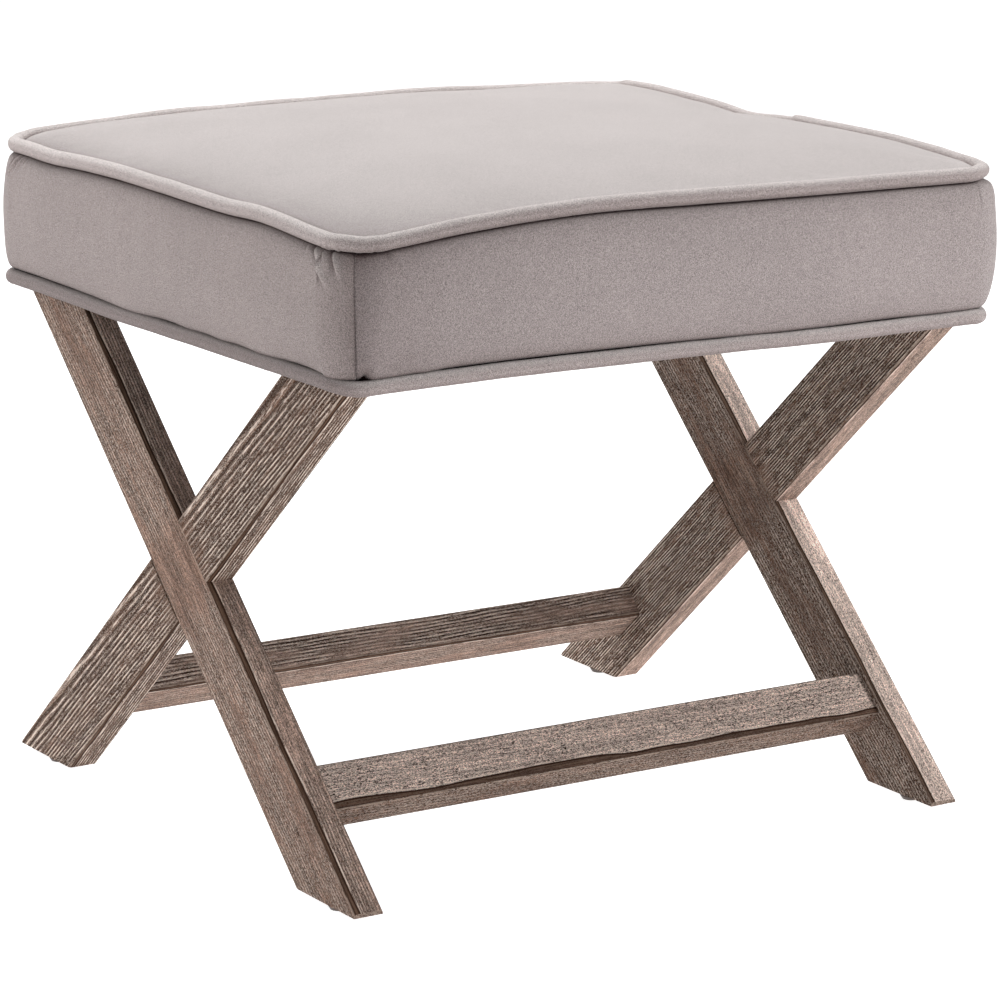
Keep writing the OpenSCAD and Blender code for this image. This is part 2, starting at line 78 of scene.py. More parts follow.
# Marks of the upholsterer's hand, chosen to suit the photograph. First the soft swells and dips of the two
# pipings: station, width in stations, height in mm.
TOP_SWELLS = (
    (0.0, 1.2, -1.7), (3.7, 1.8, 1.9), (9.0, 3.0, -0.8), (14.7, 2.2, 2.5), (20.8, 2.8, 2.9),
    (25.5, 0.9, -3.3), (29.3, 1.6, 2.8), (35.8, 2.0, -0.6), (39.7, 1.2, 1.5), (45.0, 1.0, 0.7),
    (51.0, 3.0, 2.0), (55.6, 0.9, -1.1), (58.8, 2.3, 1.5), (64.0, 0.9, 1.8), (66.0, 0.8, -0.9),
    (68.4, 1.1, 0.8))
BOTTOM_SWELLS = (
    (2.5, 2.2, 0.8), (9.0, 1.6, -1.1), (12.3, 0.8, 0.4), (19.7, 1.3, 0.5), (24.0, 1.3, -0.6),
    (27.2, 1.2, 0.7), (36.0, 1.6, 0.5), (40.0, 1.3, -0.8), (44.0, 1.4, 0.6), (58.3, 1.2, -0.8),
    (62.2, 1.4, 0.2), (66.2, 3.0, 2.0))
# How far each corner of the two pipings is drawn in, in mm, and over how many stations
TOP_PULLS, BOTTOM_PULLS = np.array([0.0, 1.2, 0.0, 2.4]), np.array([0.0, 0.0, 0.0, 1.2])
PULL_REACH = 3.0
# Gathers of each side under the top piping: distance along the side in mm, slant, length, depth, width
GATHERS = (
    ((22, 0.14, 20, 0.8, 1.8), (36, 0.2, 14, 0.5, 1.6), (470, -0.3, 20, 0.9, 1.9),
     (483, -0.25, 24, 1.5, 1.7), (492, -0.2, 16, 1.0, 1.4)),
    ((28, 0.2, 22, 1.2, 1.9), (418, -0.2, 20, 1.2, 1.9)),
    ((30, 0.2, 22, 1.2, 1.9), (44, 0.25, 15, 0.8, 1.7), (478, -0.25, 24, 1.4, 1.9)),
    ((410, 0.65, 29, 5.8, 2.0), (428, 0.32, 21, 5.2, 1.6), (419, 0.4, 11, 2.6, 1.1),
     (402, 0.2, 9, 1.8, 1.3), (29, -0.5, 21, 3.4, 1.4), (36, -0.45, 15, 2.8, 1.3), (44, -0.3, 10, 1.6, 1.3)))
GATHER_PUSH, GATHER_SHADE, GATHER_FADE = 0.42, 0.075, 2.2
# Slack of each side over the bottom piping: distance, width, how far it hangs over, in mm
SAGS = (
    ((40, 24, 1.0), (8, 3.5, -2.0), (17, 5, 0.9), (300, 60, 0.8), (440, 30, 0.9)),
    ((120, 40, 1.2), (300, 50, 0.8)),
    ((200, 60, 1.2),),
    ((190, 34, 1.6), (120, 44, 0.4), (418, 20, 2.4), (350, 28, 1.7), (300, 16, 1.2), (262, 18, 1.1)))
# Pleats where the top piping's sleeve is eased round the corners: station, height in mm, width in stations
PLEATS = (
    (66.7, 0.75, 0.10), (67.15, 0.65, 0.09), (67.7, 0.45, 0.10), (66.1, 0.35, 0.10), (50.5, 0.55, 0.12),
    (51.2, 0.8, 0.12), (51.9, 0.75, 0.12), (15.8, 0.35, 0.12), (16.5, 0.35, 0.12), (33.1, 0.35, 0.12),
    (70.4, 0.3, 0.12))
# Where the two ends of the top piping's sleeve meet in a small lap, as a station
LAP_AT = 24.05
# How far each upright seam is off the middle of its corner at its top and its bottom, in stations
SEAM_DRIFTS = ((0.10, 0.95), (1.3, 1.1), (0.0, 0.2), (-0.1, 0.1))
# How far the cloth is pulled in beside each upright seam, and how full it stands under the top piping there
CORNER_TIGHTS = np.array([1.8, -1.9, 1.8, 2.8])
SHOULDERS = np.array([0.0, 1.0, 0.4, 0.7])

# Camera of the photograph, solved from the stool's edges: angles in degrees, places in metres
CAMERA_ANGLES = (-33.742, 13.36, 0.975)
CAMERA_TARGET, CAMERA_DISTANCE = Vector((0.0001, -0.0177, 0.2006)), 2.9295
SENSOR_W, LENS = 36, 156.6
# Each light's name, place, aim, size and power
LIGHTS = (
    ("light_top", (0.1, 0.85, 2.1), (0, 0, 0.4), 2.0, 62),
    ("light_left", (-1.55, 0.6, 1.25), (-0.2, 0.1, 0.35), 0.8, 10.5),
    ("light_right", (1.25, -1.2, 1.25), (0.1, -0.1, 0.2), 0.8, 22))
WHITE = (1, 1, 1, 1)
WORLD_LIGHT = 0.18
FLOOR_HALF, FLOOR_GREY, FLOOR_GLOW = 14.0, (0.5, 0.5, 0.5, 1), 0.95

# Cloth colours: the front's is the side velvet with painted light, and the top's is the same velvet with
# painted light and painted sheen
VELVET, VELVET_FRONT_LIT, PANEL = (0.335, 0.283, 0.274), (0.356, 0.307, 0.301), (0.394, 0.360, 0.352)
# The pile's painted light where it faces up, and its painted shade where it faces down
PILE_PAINTED_LIT, PILE_PAINTED_SHADED = (0.47, 0.424, 0.412), (0.205, 0.160, 0.153)
# How much of its light, and of its light's cooler part, a full painted shade takes from the cloth; a painted
# shade below 0 paints a highlight
PAINTED_SHADE_LIGHT, PAINTED_SHADE_COOL = 0.97, 1.05
# Wood colours
WOOD_MID, WOOD_DEEP, WOOD_WORN = (0.235, 0.134, 0.094), (0.105, 0.050, 0.031), (0.235, 0.158, 0.118)
WOOD_PIT, WOOD_WASH = (0.022, 0.008, 0.004), (0.90, 0.750, 0.650)
WOOD_ARRIS, WOOD_BAND, WOOD_RUBBED_AND_HIGHLIT = (0.036, 0.016, 0.009), (0.150, 0.082, 0.052), (0.45, 0.345, 0.28)
# White wash with painted sheen, veiled over the faces painted brightest
WOOD_VEIL_AND_SHEEN = (0.72, 0.555, 0.485)


# Camera, floor and light
def make_camera():
    azimuth, elevation, roll = (math.radians(a) for a in CAMERA_ANGLES)
    back = Vector((math.sin(azimuth) * math.cos(elevation), -math.cos(azimuth) * math.cos(elevation),
                   math.sin(elevation)))
    level = Vector((0, 0, 1)).cross(back).normalized()
    rise = back.cross(level)
    right = level * math.cos(roll) + rise * math.sin(roll)
    up = rise * math.cos(roll) - level * math.sin(roll)
    data = bpy.data.cameras.new("camera")
    data.sensor_width = SENSOR_W
    data.lens = LENS
    camera = bpy.data.objects.new("camera", data)
    axes = Matrix((right, up, back)).transposed().to_4x4()
    camera.matrix_world = Matrix.Translation(CAMERA_TARGET + back * CAMERA_DISTANCE) @ axes
    scene.collection.objects.link(camera)
    bpy.context.scene.camera = camera


def make_light(name, place, aim, size, power):
    data = bpy.data.lights.new(name, "AREA")
    data.shape = "RECTANGLE"
    data.size = data.size_y = size
    data.energy = power
    light = bpy.data.objects.new(name, data)
    light.location = place
    light.rotation_euler = (Vector(aim) - Vector(place)).to_track_quat("-Z", "Y").to_euler()
    scene.collection.objects.link(light)


def make_world():
    world = bpy.data.worlds.new("studio")
    scene.world = world
    world.use_nodes = True
    background = world.node_tree.nodes["Background"]
    background.inputs["Color"].default_value = WHITE
    background.inputs["Strength"].default_value = WORLD_LIGHT


def make_floor():
    """A pale floor that glows a little, so that it meets the white of the photograph's ground."""
    mesh = bpy.data.meshes.new("floor")
    corners = [(x * FLOOR_HALF, y * FLOOR_HALF, 0) for x, y in ((-1, -1), (1, -1), (1, 1), (-1, 1))]
    mesh.from_pydata(corners, [], [(0, 1, 2, 3)])
    floor = bpy.data.objects.new("floor", mesh)
    scene.collection.objects.link(floor)
    mesh.materials.append(Graph("floor").surface({
        "Base Color": FLOOR_GREY, "Roughness": 0.9,
        "Emission Color": WHITE, "Emission Strength": FLOOR_GLOW}))


# Node graphs
class Graph:
    """A material's node graph, built by short calls. Inputs are sockets, numbers or tuples."""

    def __init__(self, name):
        self.material = bpy.data.materials.new(name)
        self.material.use_nodes = True
        self.nodes = self.material.node_tree.nodes
        self.links = self.material.node_tree.links
        self.bsdf = self.nodes["Principled BSDF"]

    def put(self, socket, value):
        if isinstance(value, bpy.types.NodeSocket):
            self.links.new(value, socket)
        else:
            socket.default_value = value

    def add(self, kind, inputs=(), **settings):
        node = self.nodes.new(kind)
        for key, value in settings.items():
            setattr(node, key, value)
        for key, value in dict(inputs).items():
            self.put(node.inputs[key], value)
        return node

    def math(self, operation, a, b=0.0, clamp=False):
        return self.add("ShaderNodeMath", {0: a, 1: b}, operation=operation, use_clamp=clamp).outputs[0]

    def plus(self, a, b):
        return self.math("ADD", a, b)

    def minus(self, a, b):
        return self.math("SUBTRACT", a, b)

    def times(self, a, b, clamp=False):
        return self.math("MULTIPLY", a, b, clamp)

    def size_of(self, a):
        return self.math("ABSOLUTE", a)

    def vector(self, operation, a, b=(0, 0, 0)):
        node = self.add("ShaderNodeVectorMath", {0: a, 1: b}, operation=operation)
        return node.outputs["Value" if operation in ("DOT_PRODUCT", "LENGTH") else "Vector"]

    def join(self, x, y, z):
        return self.add("ShaderNodeCombineXYZ", {0: x, 1: y, 2: z}).outputs[0]

    def split(self, vector):
        return self.add("ShaderNodeSeparateXYZ", {0: vector}).outputs

    def place(self):
        """The point in the row frame, in millimetres."""
        return self.scaled(self.add("ShaderNodeTexCoord").outputs["Object"], 1 / MM)

    def scaled(self, vector, factor):
        node = self.add("ShaderNodeVectorMath", {0: vector}, operation="SCALE")
        node.inputs["Scale"].default_value = factor
        return node.outputs["Vector"]

    def noise(self, vector, scales, detail=2.0, roughness=0.5, distortion=0.0, output="Fac"):
        point = self.vector("MULTIPLY", vector, scales)
        node = self.add("ShaderNodeTexNoise", {"Vector": point, "Scale": 1.0, "Detail": detail,
                                               "Roughness": roughness, "Distortion": distortion})
        return node.outputs[output]

    def step(self, value, low, high, to_low=0.0, to_high=1.0):
        node = self.add("ShaderNodeMapRange", {0: value, 1: low, 2: high, 3: to_low, 4: to_high},
                        interpolation_type="SMOOTHSTEP")
        return node.outputs[0]

    def mix(self, factor, a, b):
        node = self.add("ShaderNodeMix", data_type="RGBA")
        self.put(node.inputs[0], factor)
        self.put(node.inputs[6], (*a, 1) if isinstance(a, tuple) else a)
        self.put(node.inputs[7], (*b, 1) if isinstance(b, tuple) else b)
        return node.outputs[2]

    def bump(self, height, strength, distance):
        node = self.add("ShaderNodeBump", {"Height": height, "Strength": strength, "Distance": distance * MM})
        return node.outputs[0]

    def surface(self, inputs):
        """Sets the shader's own inputs, and gives back the material."""
        for key, value in inputs.items():
            self.put(self.bsdf.inputs[key], value)
        return self.material


# Materials
def velvet(name, colour, streak=0.0, nap=1.0, seed=0.0, painted_facing_light=True):
    """Short-pile velvet: soft colour clouds, a nap that shows as fine curly grain, and a sheen.

    The last flag paints light and shade into the pile: paler where it faces up, deeper where it faces down.
    """
    g = Graph(name)
    p = g.vector("ADD", g.place(), (seed, seed * 0.7, seed * 1.3))
    clouds = g.noise(p, (0.012, 0.012, 0.012), 3.0, 0.55)
    streaks = g.noise(p, (0.30, 0.30, 0.010), 2.0, 0.55)
    curl = g.noise(p, (1.40, 1.40, 1.10), 0.0, 0.5, 0.6)
    fine = g.noise(p, (2.70, 2.70, 2.10), 0.0, 0.5, 0.5)
    shade = g.plus(g.step(clouds, 0.3, 0.7, -0.03, 0.03), g.step(streaks, 0.35, 0.65, -streak, streak))
    shade = g.plus(shade, g.step(curl, 0.38, 0.62, -0.12 * nap, 0.12 * nap))
    shade = g.plus(shade, g.step(fine, 0.42, 0.58, -0.27 * nap, 0.27 * nap))
    level = g.plus(shade, 1.0)
    # each piece's painted shade per point darkens the colour in creases, seams and under the pipings, and
    # below 0 paints a highlight
    painted_shade = g.add("ShaderNodeAttribute", attribute_name="painted_shade").outputs["Fac"]
    light = g.times(level, g.minus(1.0, g.times(painted_shade, PAINTED_SHADE_LIGHT)))
    cool = g.math("MAXIMUM", g.times(level, g.minus(1.0, g.times(painted_shade, PAINTED_SHADE_COOL))), 0.0)
    pile = colour
    # painted light where the pile faces up, painted shade where it faces down
    if painted_facing_light:
        up = g.split(g.add("ShaderNodeNewGeometry").outputs["Normal"])[2]
        pile = g.mix(g.step(up, 0.15, 0.95), pile, PILE_PAINTED_LIT)
        pile = g.mix(g.step(up, -0.95, -0.05, 1.0, 0.0), pile, PILE_PAINTED_SHADED)
    height = g.plus(g.times(curl, 0.65), g.times(fine, 0.35))
    return g.surface({
        "Base Color": g.vector("MULTIPLY", g.join(light, cool, cool), pile), "Roughness": 0.92,
        "Specular IOR Level": 0.10, "Sheen Weight": 0.35, "Sheen Roughness": 0.35,
        "Sheen Tint": (1.0, 0.97, 0.96, 1), "Normal": g.bump(height, 0.9 * nap, 0.9)})


# A bar's middle, the directions along its grain and across it, and half its section, across and through
Bar = namedtuple("Bar", "centre along across half")
# A kind of face: its tone, which also holds painted light for how brightly the face is lit, and how much it
# shows pale lines, dark lines, pale flecks, dark pores and grit
Face = namedtuple("Face", "tone lines gaps flecks pores grit")


def growth_lines(g, local, u, kind, pith, spacing, comb, slant):
    """Pale crests and dark gaps: bent rings round the pith on broad faces, straight lines on narrow ones."""
    bend = g.noise(local, (0.022, 0.022, 0.006), output="Color")
    bent = g.vector("ADD", local, g.scaled(g.vector("SUBTRACT", bend, (0.5, 0.5, 0.5)), slant))
    bent_w, bent_v, _ = g.split(bent)
    pith_v, pith_w, drift_v, drift_w = pith
    from_v = g.minus(bent_v, g.plus(g.times(u, drift_v), pith_v))
    from_w = g.minus(bent_w, g.plus(g.times(u, drift_w), pith_w))
    rings = g.math("DIVIDE", g.vector("LENGTH", g.join(from_v, from_w, 0.0)), spacing)
    straight = g.math("DIVIDE", bent_w, comb)
    phase = g.math("FRACT", g.plus(g.times(rings, g.minus(1.0, kind)), g.times(straight, kind)))
    crest = g.times(g.step(phase, 0.02, 0.09), g.step(phase, 0.28, 0.37, 1.0, 0.0))
    gap = g.times(g.step(phase, 0.52, 0.60), g.step(phase, 0.88, 0.96, 1.0, 0.0))
    return crest, gap


def brushed_wood(name, bar, pith, spacing, seed, broad, edge, comb=2.2, dark_side=1.0, band=(2.6, 4.4),
                 roughest=0.35, calm=True, slant=14.0):
    """Wire-brushed wood with a white wash caught in its grain.

    pith is where the rings' middle lies, across and through the bar, with its drift along the bar. spacing is
    the growth rings' pitch, slant how far they bend, and comb the pitch of the narrow faces' lines. broad and
    edge are the two kinds of face. dark_side is the arris that has the broad brown band, and band its least
    and greatest width. roughest is how much of the marks stays in the smoothest patches, and calm leaves few
    of them round the bar's middle.
    """
    g = Graph(name)
    p = g.vector("SUBTRACT", g.place(), bar.centre)
    u = g.vector("DOT_PRODUCT", p, bar.along)
    v = g.vector("DOT_PRODUCT", p, bar.across)
    w = g.vector("DOT_PRODUCT", p, tuple(Vector(bar.along).cross(Vector(bar.across))))
    local = g.join(w, v, g.plus(u, seed * 137.0))
    # the kind of face, by its normal: 0 on the broad faces and 1 on the narrow ones
    normal = g.add("ShaderNodeNewGeometry").outputs["True Normal"]
    kind = g.step(g.size_of(g.vector("DOT_PRODUCT", normal, bar.across)), 0.6, 0.9)
    flat = g.minus(1.0, kind)
    face = Face(*(g.plus(g.times(kind, narrow - wide), wide) for wide, narrow in zip(broad, edge)))
    crest, gap = growth_lines(g, local, u, kind, pith, spacing, comb, slant)
    # fibres, flecks, pores and patches
    fibre = g.noise(local, (1.30, 1.30, 0.035), 1.0)
    strand = g.noise(local, (0.90, 0.90, 0.085), 2.0, 0.6)
    zones = g.noise(local, (0.16, 0.16, 0.010))
    grit = g.noise(local, (2.90, 2.90, 1.00), 0.0)
    flecks = g.noise(local, (2.40, 2.40, 0.60), 0.0)
    pores = g.noise(g.vector("ADD", local, (53.0, 17.0, 29.0)), (1.90, 1.90, 0.60), 1.0, 0.6)
    patches = g.noise(local, (0.05, 0.05, 0.014), 3.0, 0.6)
    rough = g.step(patches, 0.36, 0.54, roughest, 1.0)
    if calm:
        rough = g.times(rough, g.step(g.size_of(u), 20.0, 46.0, 0.3, 1.0))
    # the ground colour, scaled by the face's tone and painted light, with a veil of wash and painted sheen on
    # the faces painted brightest
    base = g.mix(g.step(fibre, 0.43, 0.52), WOOD_DEEP, WOOD_MID)
    base = g.mix(g.step(patches, 0.35, 0.7, 0.0, 0.35), base, WOOD_WORN)
    base = g.mix(g.times(g.minus(face.tone, 1.0), 0.55, clamp=True), base, WOOD_VEIL_AND_SHEEN)
    speck = g.times(g.step(grit, 0.43, 0.57, -0.9, 1.0), face.grit)
    level = g.times(g.math("MINIMUM", face.tone, 1.0), g.plus(1.0, speck))
    level = g.times(level, g.step(strand, 0.36, 0.60, 0.72, 1.30))
    level = g.times(level, g.step(zones, 0.36, 0.64, 0.80, 1.25))
    base = g.vector("MULTIPLY", base, g.join(level, level, level))
    # the pale and the dark marks
    lines = g.times(g.times(crest, g.step(strand, 0.44, 0.53)), face.lines)
    pale = g.times(g.step(flecks, 0.545, 0.59), face.flecks)
    pale = g.times(g.math("MAXIMUM", lines, pale), rough, clamp=True)
    base = g.mix(pale, base, WOOD_WASH)
    gaps = g.times(g.times(gap, g.step(strand, 0.38, 0.48)), face.gaps)
    dark = g.math("MAXIMUM", gaps, g.times(g.step(pores, 0.56, 0.61), face.pores))
    dark = g.times(g.times(dark, rough), 0.95, clamp=True)
    base = g.mix(dark, base, WOOD_PIT)
    # the narrow faces' arris: a smooth brown band between two dark lines, with a pale line beside it that is
    # partly rubbed wear and partly a painted edge highlight
    toward = g.times(w, dark_side)
    from_near, from_far = g.minus(bar.half[1], toward), g.plus(bar.half[1], toward)
    band_w = g.step(g.noise(g.join(seed, 0.0, g.times(u, 0.009)), (1, 1, 1)), 0.35, 0.65, *band)
    from_band = g.minus(from_near, band_w)
    in_band = g.times(g.step(from_band, -0.35, 0.35, 0.92, 0.0), kind)
    base = g.mix(in_band, base, g.mix(g.step(fibre, 0.36, 0.62, 0.0, 0.75), WOOD_BAND, WOOD_ARRIS))
    inner_line = g.step(g.size_of(g.plus(from_band, 0.7)), 0.35, 0.85, 0.9, 0.0)
    outer_line, far_line = g.step(from_near, 0.7, 1.5, 0.9, 0.0), g.step(from_far, 0.8, 1.6, 0.85, 0.0)
    edge_lines = g.math("MAXIMUM", inner_line, g.math("MAXIMUM", outer_line, far_line))
    base = g.mix(g.times(edge_lines, kind), base, WOOD_ARRIS)
    rub_and_highlight = g.step(g.size_of(g.minus(from_band, 0.75)), 0.3, 0.7, 1.0, 0.0)
    rub_and_highlight = g.times(g.times(rub_and_highlight, kind), g.step(strand, 0.42, 0.52, 0.0, 0.8))
    base = g.mix(rub_and_highlight, base, WOOD_WASH)
    # the broad faces' arrises are paler here and there: partly rubbed wear, partly a painted edge highlight
    from_edge = g.minus(bar.half[0], g.size_of(v))
    worn_and_highlit = g.times(g.step(from_edge, 1.0, 2.0, 1.0, 0.0), g.step(strand, 0.40, 0.52, 0.0, 0.7))
    base = g.mix(g.times(worn_and_highlit, flat), base, WOOD_RUBBED_AND_HIGHLIT)
    height = g.plus(g.times(fibre, 0.5), g.times(speck, 0.25))
    height = g.minus(g.plus(height, g.times(pale, 0.25)), g.times(dark, 0.7))
    return g.surface({"Base Color": base, "Roughness": g.step(fibre, 0.3, 0.7, 0.62, 0.85),
                      "Specular IOR Level": 0.06, "Normal": g.bump(height, 1.0, 1.0)})


def plain(name, colour, roughness, metal=0.0, grain=0.0, scales=(0.5, 0.5, 0.5), bump=0.1):
    """A simple finish with a grain of its own: hardware, plywood edges, foam and cloth that hardly shows."""
    g = Graph(name)
    p = g.place()
    n, cloud = g.noise(p, scales, 3.0, 0.6), g.noise(p, (0.03, 0.03, 0.03))
    shade = g.plus(g.step(n, 0.3, 0.7, 1.0 - grain, 1.0 + grain), g.step(cloud, 0.3, 0.7, -0.04, 0.04))
    return g.surface({
        "Base Color": g.vector("MULTIPLY", g.join(shade, shade, shade), colour), "Metallic": metal,
        "Roughness": g.step(n, 0.3, 0.7, roughness - 0.06, roughness + 0.06), "Normal": g.bump(n, bump, 0.4)})


# The seat's outline
def bell(x, width):
    """A smooth hump of height 1 at x = 0."""
    return np.exp(-(x / width) ** 2)


def side_and_place(t):
    """The side that station t lies on, or whose corner it lies on, and how far along it is."""
    t = np.mod(t, 4 * RUN_N)
    k = np.floor(t / RUN_N).astype(int)
    return k, t - k * RUN_N


def quarter_turn(k, x, y):
    c, s = np.array([1, 0, -1, 0])[k], np.array([0, 1, 0, -1])[k]
    return x * c - y * s, x * s + y * c


def corner_angle(j):
    return np.radians(-90 + 90 * (j - SIDE_N) / CORNER_N)


def outward(t):
    k, j = side_and_place(t)
    a = np.where(j < SIDE_N, np.radians(-90), corner_angle(j))
    return np.stack(quarter_turn(k, np.cos(a), np.sin(a)), -1)


def outline(t, a, b, bow, r):
    """The plan of a piping: half sizes a and b, sides that bow out, and corners of radius r."""
    k, j = side_and_place(t)
    even = k % 2 == 0
    reach = np.where(even, a, b) - r
    out = np.where(even, b, a)
    s = 2 * j / SIDE_N - 1
    angle = corner_angle(j)
    x = np.where(j < SIDE_N, s * reach, reach + r * np.cos(angle))
    y = np.where(j < SIDE_N, -out - bow * (1 - s * s), r - out + r * np.sin(angle))
    return np.stack(quarter_turn(k, x, y), -1)


def fall_share(p):
    return ARCH_SHARE * p**2 + (1 - ARCH_SHARE) * np.abs(p) ** 8


def arch(t, a, b, r, rises, drops):
    """How high a piping arches along its sides and drops to its corners."""
    k, j = side_and_place(t)
    after = (k + 1) % 4
    half, half_after = np.where(k % 2 == 0, a, b), np.where(k % 2 == 0, b, a)
    p = (2 * j / SIDE_N - 1) * (half - r) / half
    drop = np.where((j < SIDE_N) & (p < 0), drops[k], drops[after])
    f = (j - SIDE_N) / CORNER_N
    end_z = rises[k] - (drop + rises[k]) * fall_share((half - r) / half)
    start_z = rises[after] - (drop + rises[after]) * fall_share((half_after - r) / half_after)
    on_side = rises[k] - (drop + rises[k]) * fall_share(p)
    on_corner = end_z * (1 - f) + start_z * f - (drop + (end_z + start_z) / 2) * np.sin(np.pi * f)
    return np.where(j < SIDE_N, on_side, on_corner)


def wander(t, swells):
    """The hand-laid wave of a piping at station t."""
    rise = np.zeros(np.shape(t))
    for at, width, height in swells:
        away = np.mod(t - at + 2 * RUN_N, 4 * RUN_N) - 2 * RUN_N
        rise += height * bell(away, width)
    return rise


def pulled(t, pulls):
    """How far the path is drawn in near each corner, along the outward direction there."""
    k, j = side_and_place(t)
    after = pulls[(k + 1) % 4] * bell(j - SIDE_N - CORNER_N / 2, PULL_REACH)
    before = pulls[k] * bell(j + CORNER_N / 2, PULL_REACH)
    return outward(t) * (after + before)[:, None]


def top_path(t):
    a, b = TOP_L / 2, TOP_D / 2
    z = TOP_Z + arch(t, a, b, TOP_R, SIDE_RISES, CORNER_DROPS) + wander(t, TOP_SWELLS)
    return np.column_stack([outline(t, a, b, TOP_BOW, TOP_R) - pulled(t, TOP_PULLS), z])


def bottom_path(t):
    a, b = SEAT_L / 2, SEAT_D / 2
    z = BOTTOM_Z + arch(t, a, b, BOTTOM_R, BOTTOM_RISES, BOTTOM_DROPS) + wander(t, BOTTOM_SWELLS)
    return np.column_stack([outline(t, a, b, BOTTOM_BOW, BOTTOM_R) - pulled(t, BOTTOM_PULLS), z])


def beside(path, t, out, up):
    p = path(t)
    p[:, :2] += outward(t) * np.reshape(out, (-1, 1))
    p[:, 2] += up
    return p


def even_stations(first, last, n):
    """n + 1 stations from first to last with equal steps along the top piping, and its length there."""
    fine = np.linspace(first, last, 4000)
    steps = np.linalg.norm(np.diff(top_path(fine), axis=0), axis=1)
    run = np.concatenate([[0], np.cumsum(steps)])
    return np.interp(np.linspace(0, run[-1], n + 1), run, fine), run[-1]


def seam_start(k):
    """Station of the middle of the corner where side k of the cover starts."""
    return k * RUN_N - CORNER_N / 2


# Meshes
def make_piece(name, points, faces, material, replaces=(), painted_shade=None):
    mesh = bpy.data.meshes.new(name)
    places = [tuple(p) for p in np.asarray(points) * MM]
    mesh.from_pydata(places, [], [tuple(int(i) for i in f) for f in faces])
    mesh.update()
    mesh.shade_smooth()
    # painted shade per point, read by the velvet
    if painted_shade is not None:
        layer = mesh.attributes.new("painted_shade", "FLOAT", "POINT")
        layer.data.foreach_set("value", np.asarray(painted_shade, np.float32))
    mesh.materials.append(material)
    piece = bpy.data.objects.new(name, mesh)
    scene.collection.objects.link(piece)
    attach(piece, BODY)
    if replaces:
        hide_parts(*replaces)
    return piece


def grid_faces(rows, cols, wrap_cols=False, wrap_rows=False):
    r = np.arange(rows if wrap_rows else rows - 1)
    c = np.arange(cols if wrap_cols else cols - 1)
    r, c = np.meshgrid(r, c, indexing="ij")
    a, b = r * cols + c, r * cols + (c + 1) % cols
    d, e = (r + 1) % rows * cols + c, (r + 1) % rows * cols + (c + 1) % cols
    return np.stack([a, b, e, d], -1).reshape(-1, 4)


def ripple(points, scales, seed):
    """Smooth noise at each point, from -1 to 1."""
    shift = Vector((seed, seed * 1.7, seed * 0.3))
    return np.array([noise.noise(Vector(p * scales) + shift) for p in points])


def closed_sheet(outer, inner):
    """Points and faces of a thin closed skin from two matching grids, the outer one seen from outside."""
    rows, cols = outer.shape[:2]
    n = rows * cols
    front = grid_faces(rows, cols)
    back = front[:, ::-1] + n
    rim = ([(0, c) for c in range(cols)] + [(r, cols - 1) for r in range(1, rows)]
           + [(rows - 1, c) for c in range(cols - 2, -1, -1)] + [(r, 0) for r in range(rows - 2, 0, -1)])
    rim = np.array([r * cols + c for r, c in rim])
    after = np.roll(rim, -1)
    wall = np.stack([after, rim, rim + n, after + n], -1)
    points = np.concatenate([outer.reshape(-1, 3), inner.reshape(-1, 3)])
    return points, np.concatenate([front, back, wall])


# The cover's sides
BAND_ROWS, BAND_H = 56, 93.0
# Distances from a seam over which the columns stand closer, and over which the seam's drift fades
SEAM_ZONE, DRIFT_FADE = 90, 70
SEAM_COLS, MIDDLE_COLS = 82, 110
SWELL_POWER = 0.42
SLOW_RIPPLE, QUICK_RIPPLE = np.array([0.011, 0.018, 1]), np.array([0.055, 0.010, 1])
# How many of the rows crowd towards the two edges, as a share
CROWDED_SHARE = 0.6
# Depths of the cloth's slow and quick ripples, of the valley beside a seam, of the shoulder under the top
# piping and of the tuck at both pipings, and the widths of the seam, the valley and the puff beside it
SLOW_DEPTH, QUICK_DEPTH, VALLEY_DEPTH, SHOULDER_DEPTH, TUCK_DEPTH = 1.3, 0.45, 0.9, 2.6, 1.8
SEAM_W, VALLEY_W, PUFF_W = 0.8, 6.0, 16.0
# How fast the seam's shade beats with its stitches on the way up
SEAM_BEATS = 150.0
# Reaches of the slack, the shoulder and the tuck, as shares of the side's height
SLACK_SHARE, SHOULDER_SHARES, TUCK_SHARE = 0.07, (0.20, 0.03), 0.018
# Shade of the creases: strength, and reach as a share of the side's height
UNDER_TOP_FRONT = ((0.86, 0.010), (0.34, 0.040), (0.10, 0.10))
UNDER_TOP = ((0.86, 0.010), (0.34, 0.040), (0.16, 0.10))
OVER_WELT = ((0.93, 0.016), (0.03, 0.05))
# How far behind a piping a side's edge is hidden, in two steps, and the hidden cloth's thickness and shade
HIDDEN_IN, HIDDEN_UP, HIDDEN_SHARES, HIDDEN_T, HIDDEN_SHADE = 5.5, 0.5, (0.45, 1.0), 0.3, 0.9


def boxing_frame(t, s):
    """Points on the straight line between the two pipings' facing sides, at share s of the way up."""
    low, high = beside(bottom_path, t, 0, PIPING_R), beside(top_path, t, 0, -PIPING_R)
    return low + (high - low) * np.reshape(s, (-1, 1))


def boxing_swell(s):
    return BOXING_SWELL * (4 * s * (1 - s)) ** SWELL_POWER - BAND_TUCK


def seam_drift(k, s):
    """How far the upright seam at the start of side k is off the corner's middle, in stations."""
    at_top, at_bottom = SEAM_DRIFTS[k]
    return at_top + (at_bottom - at_top) * (1 - s)


def gathers(k, distance, down):
    """How far side k's gathers push the cloth out, down mm under the top piping, and their painted shade and
    highlight.
    """
    push, shade = np.zeros(len(distance)), np.zeros(len(distance))
    for at, slant, length, depth, width in GATHERS[k]:
        line = distance - (at + slant * down)
        fade = min(1, GATHER_FADE * max(0, 1 - down / length))
        fold = depth * fade * (bell(line, width) - bell(line + 1.9 * width, width))
        push += GATHER_PUSH * fold
        shade -= GATHER_SHADE * fold
    return push, shade


def shade_layers(x, layers):
    return sum(strength * bell(x, reach) for strength, reach in layers)


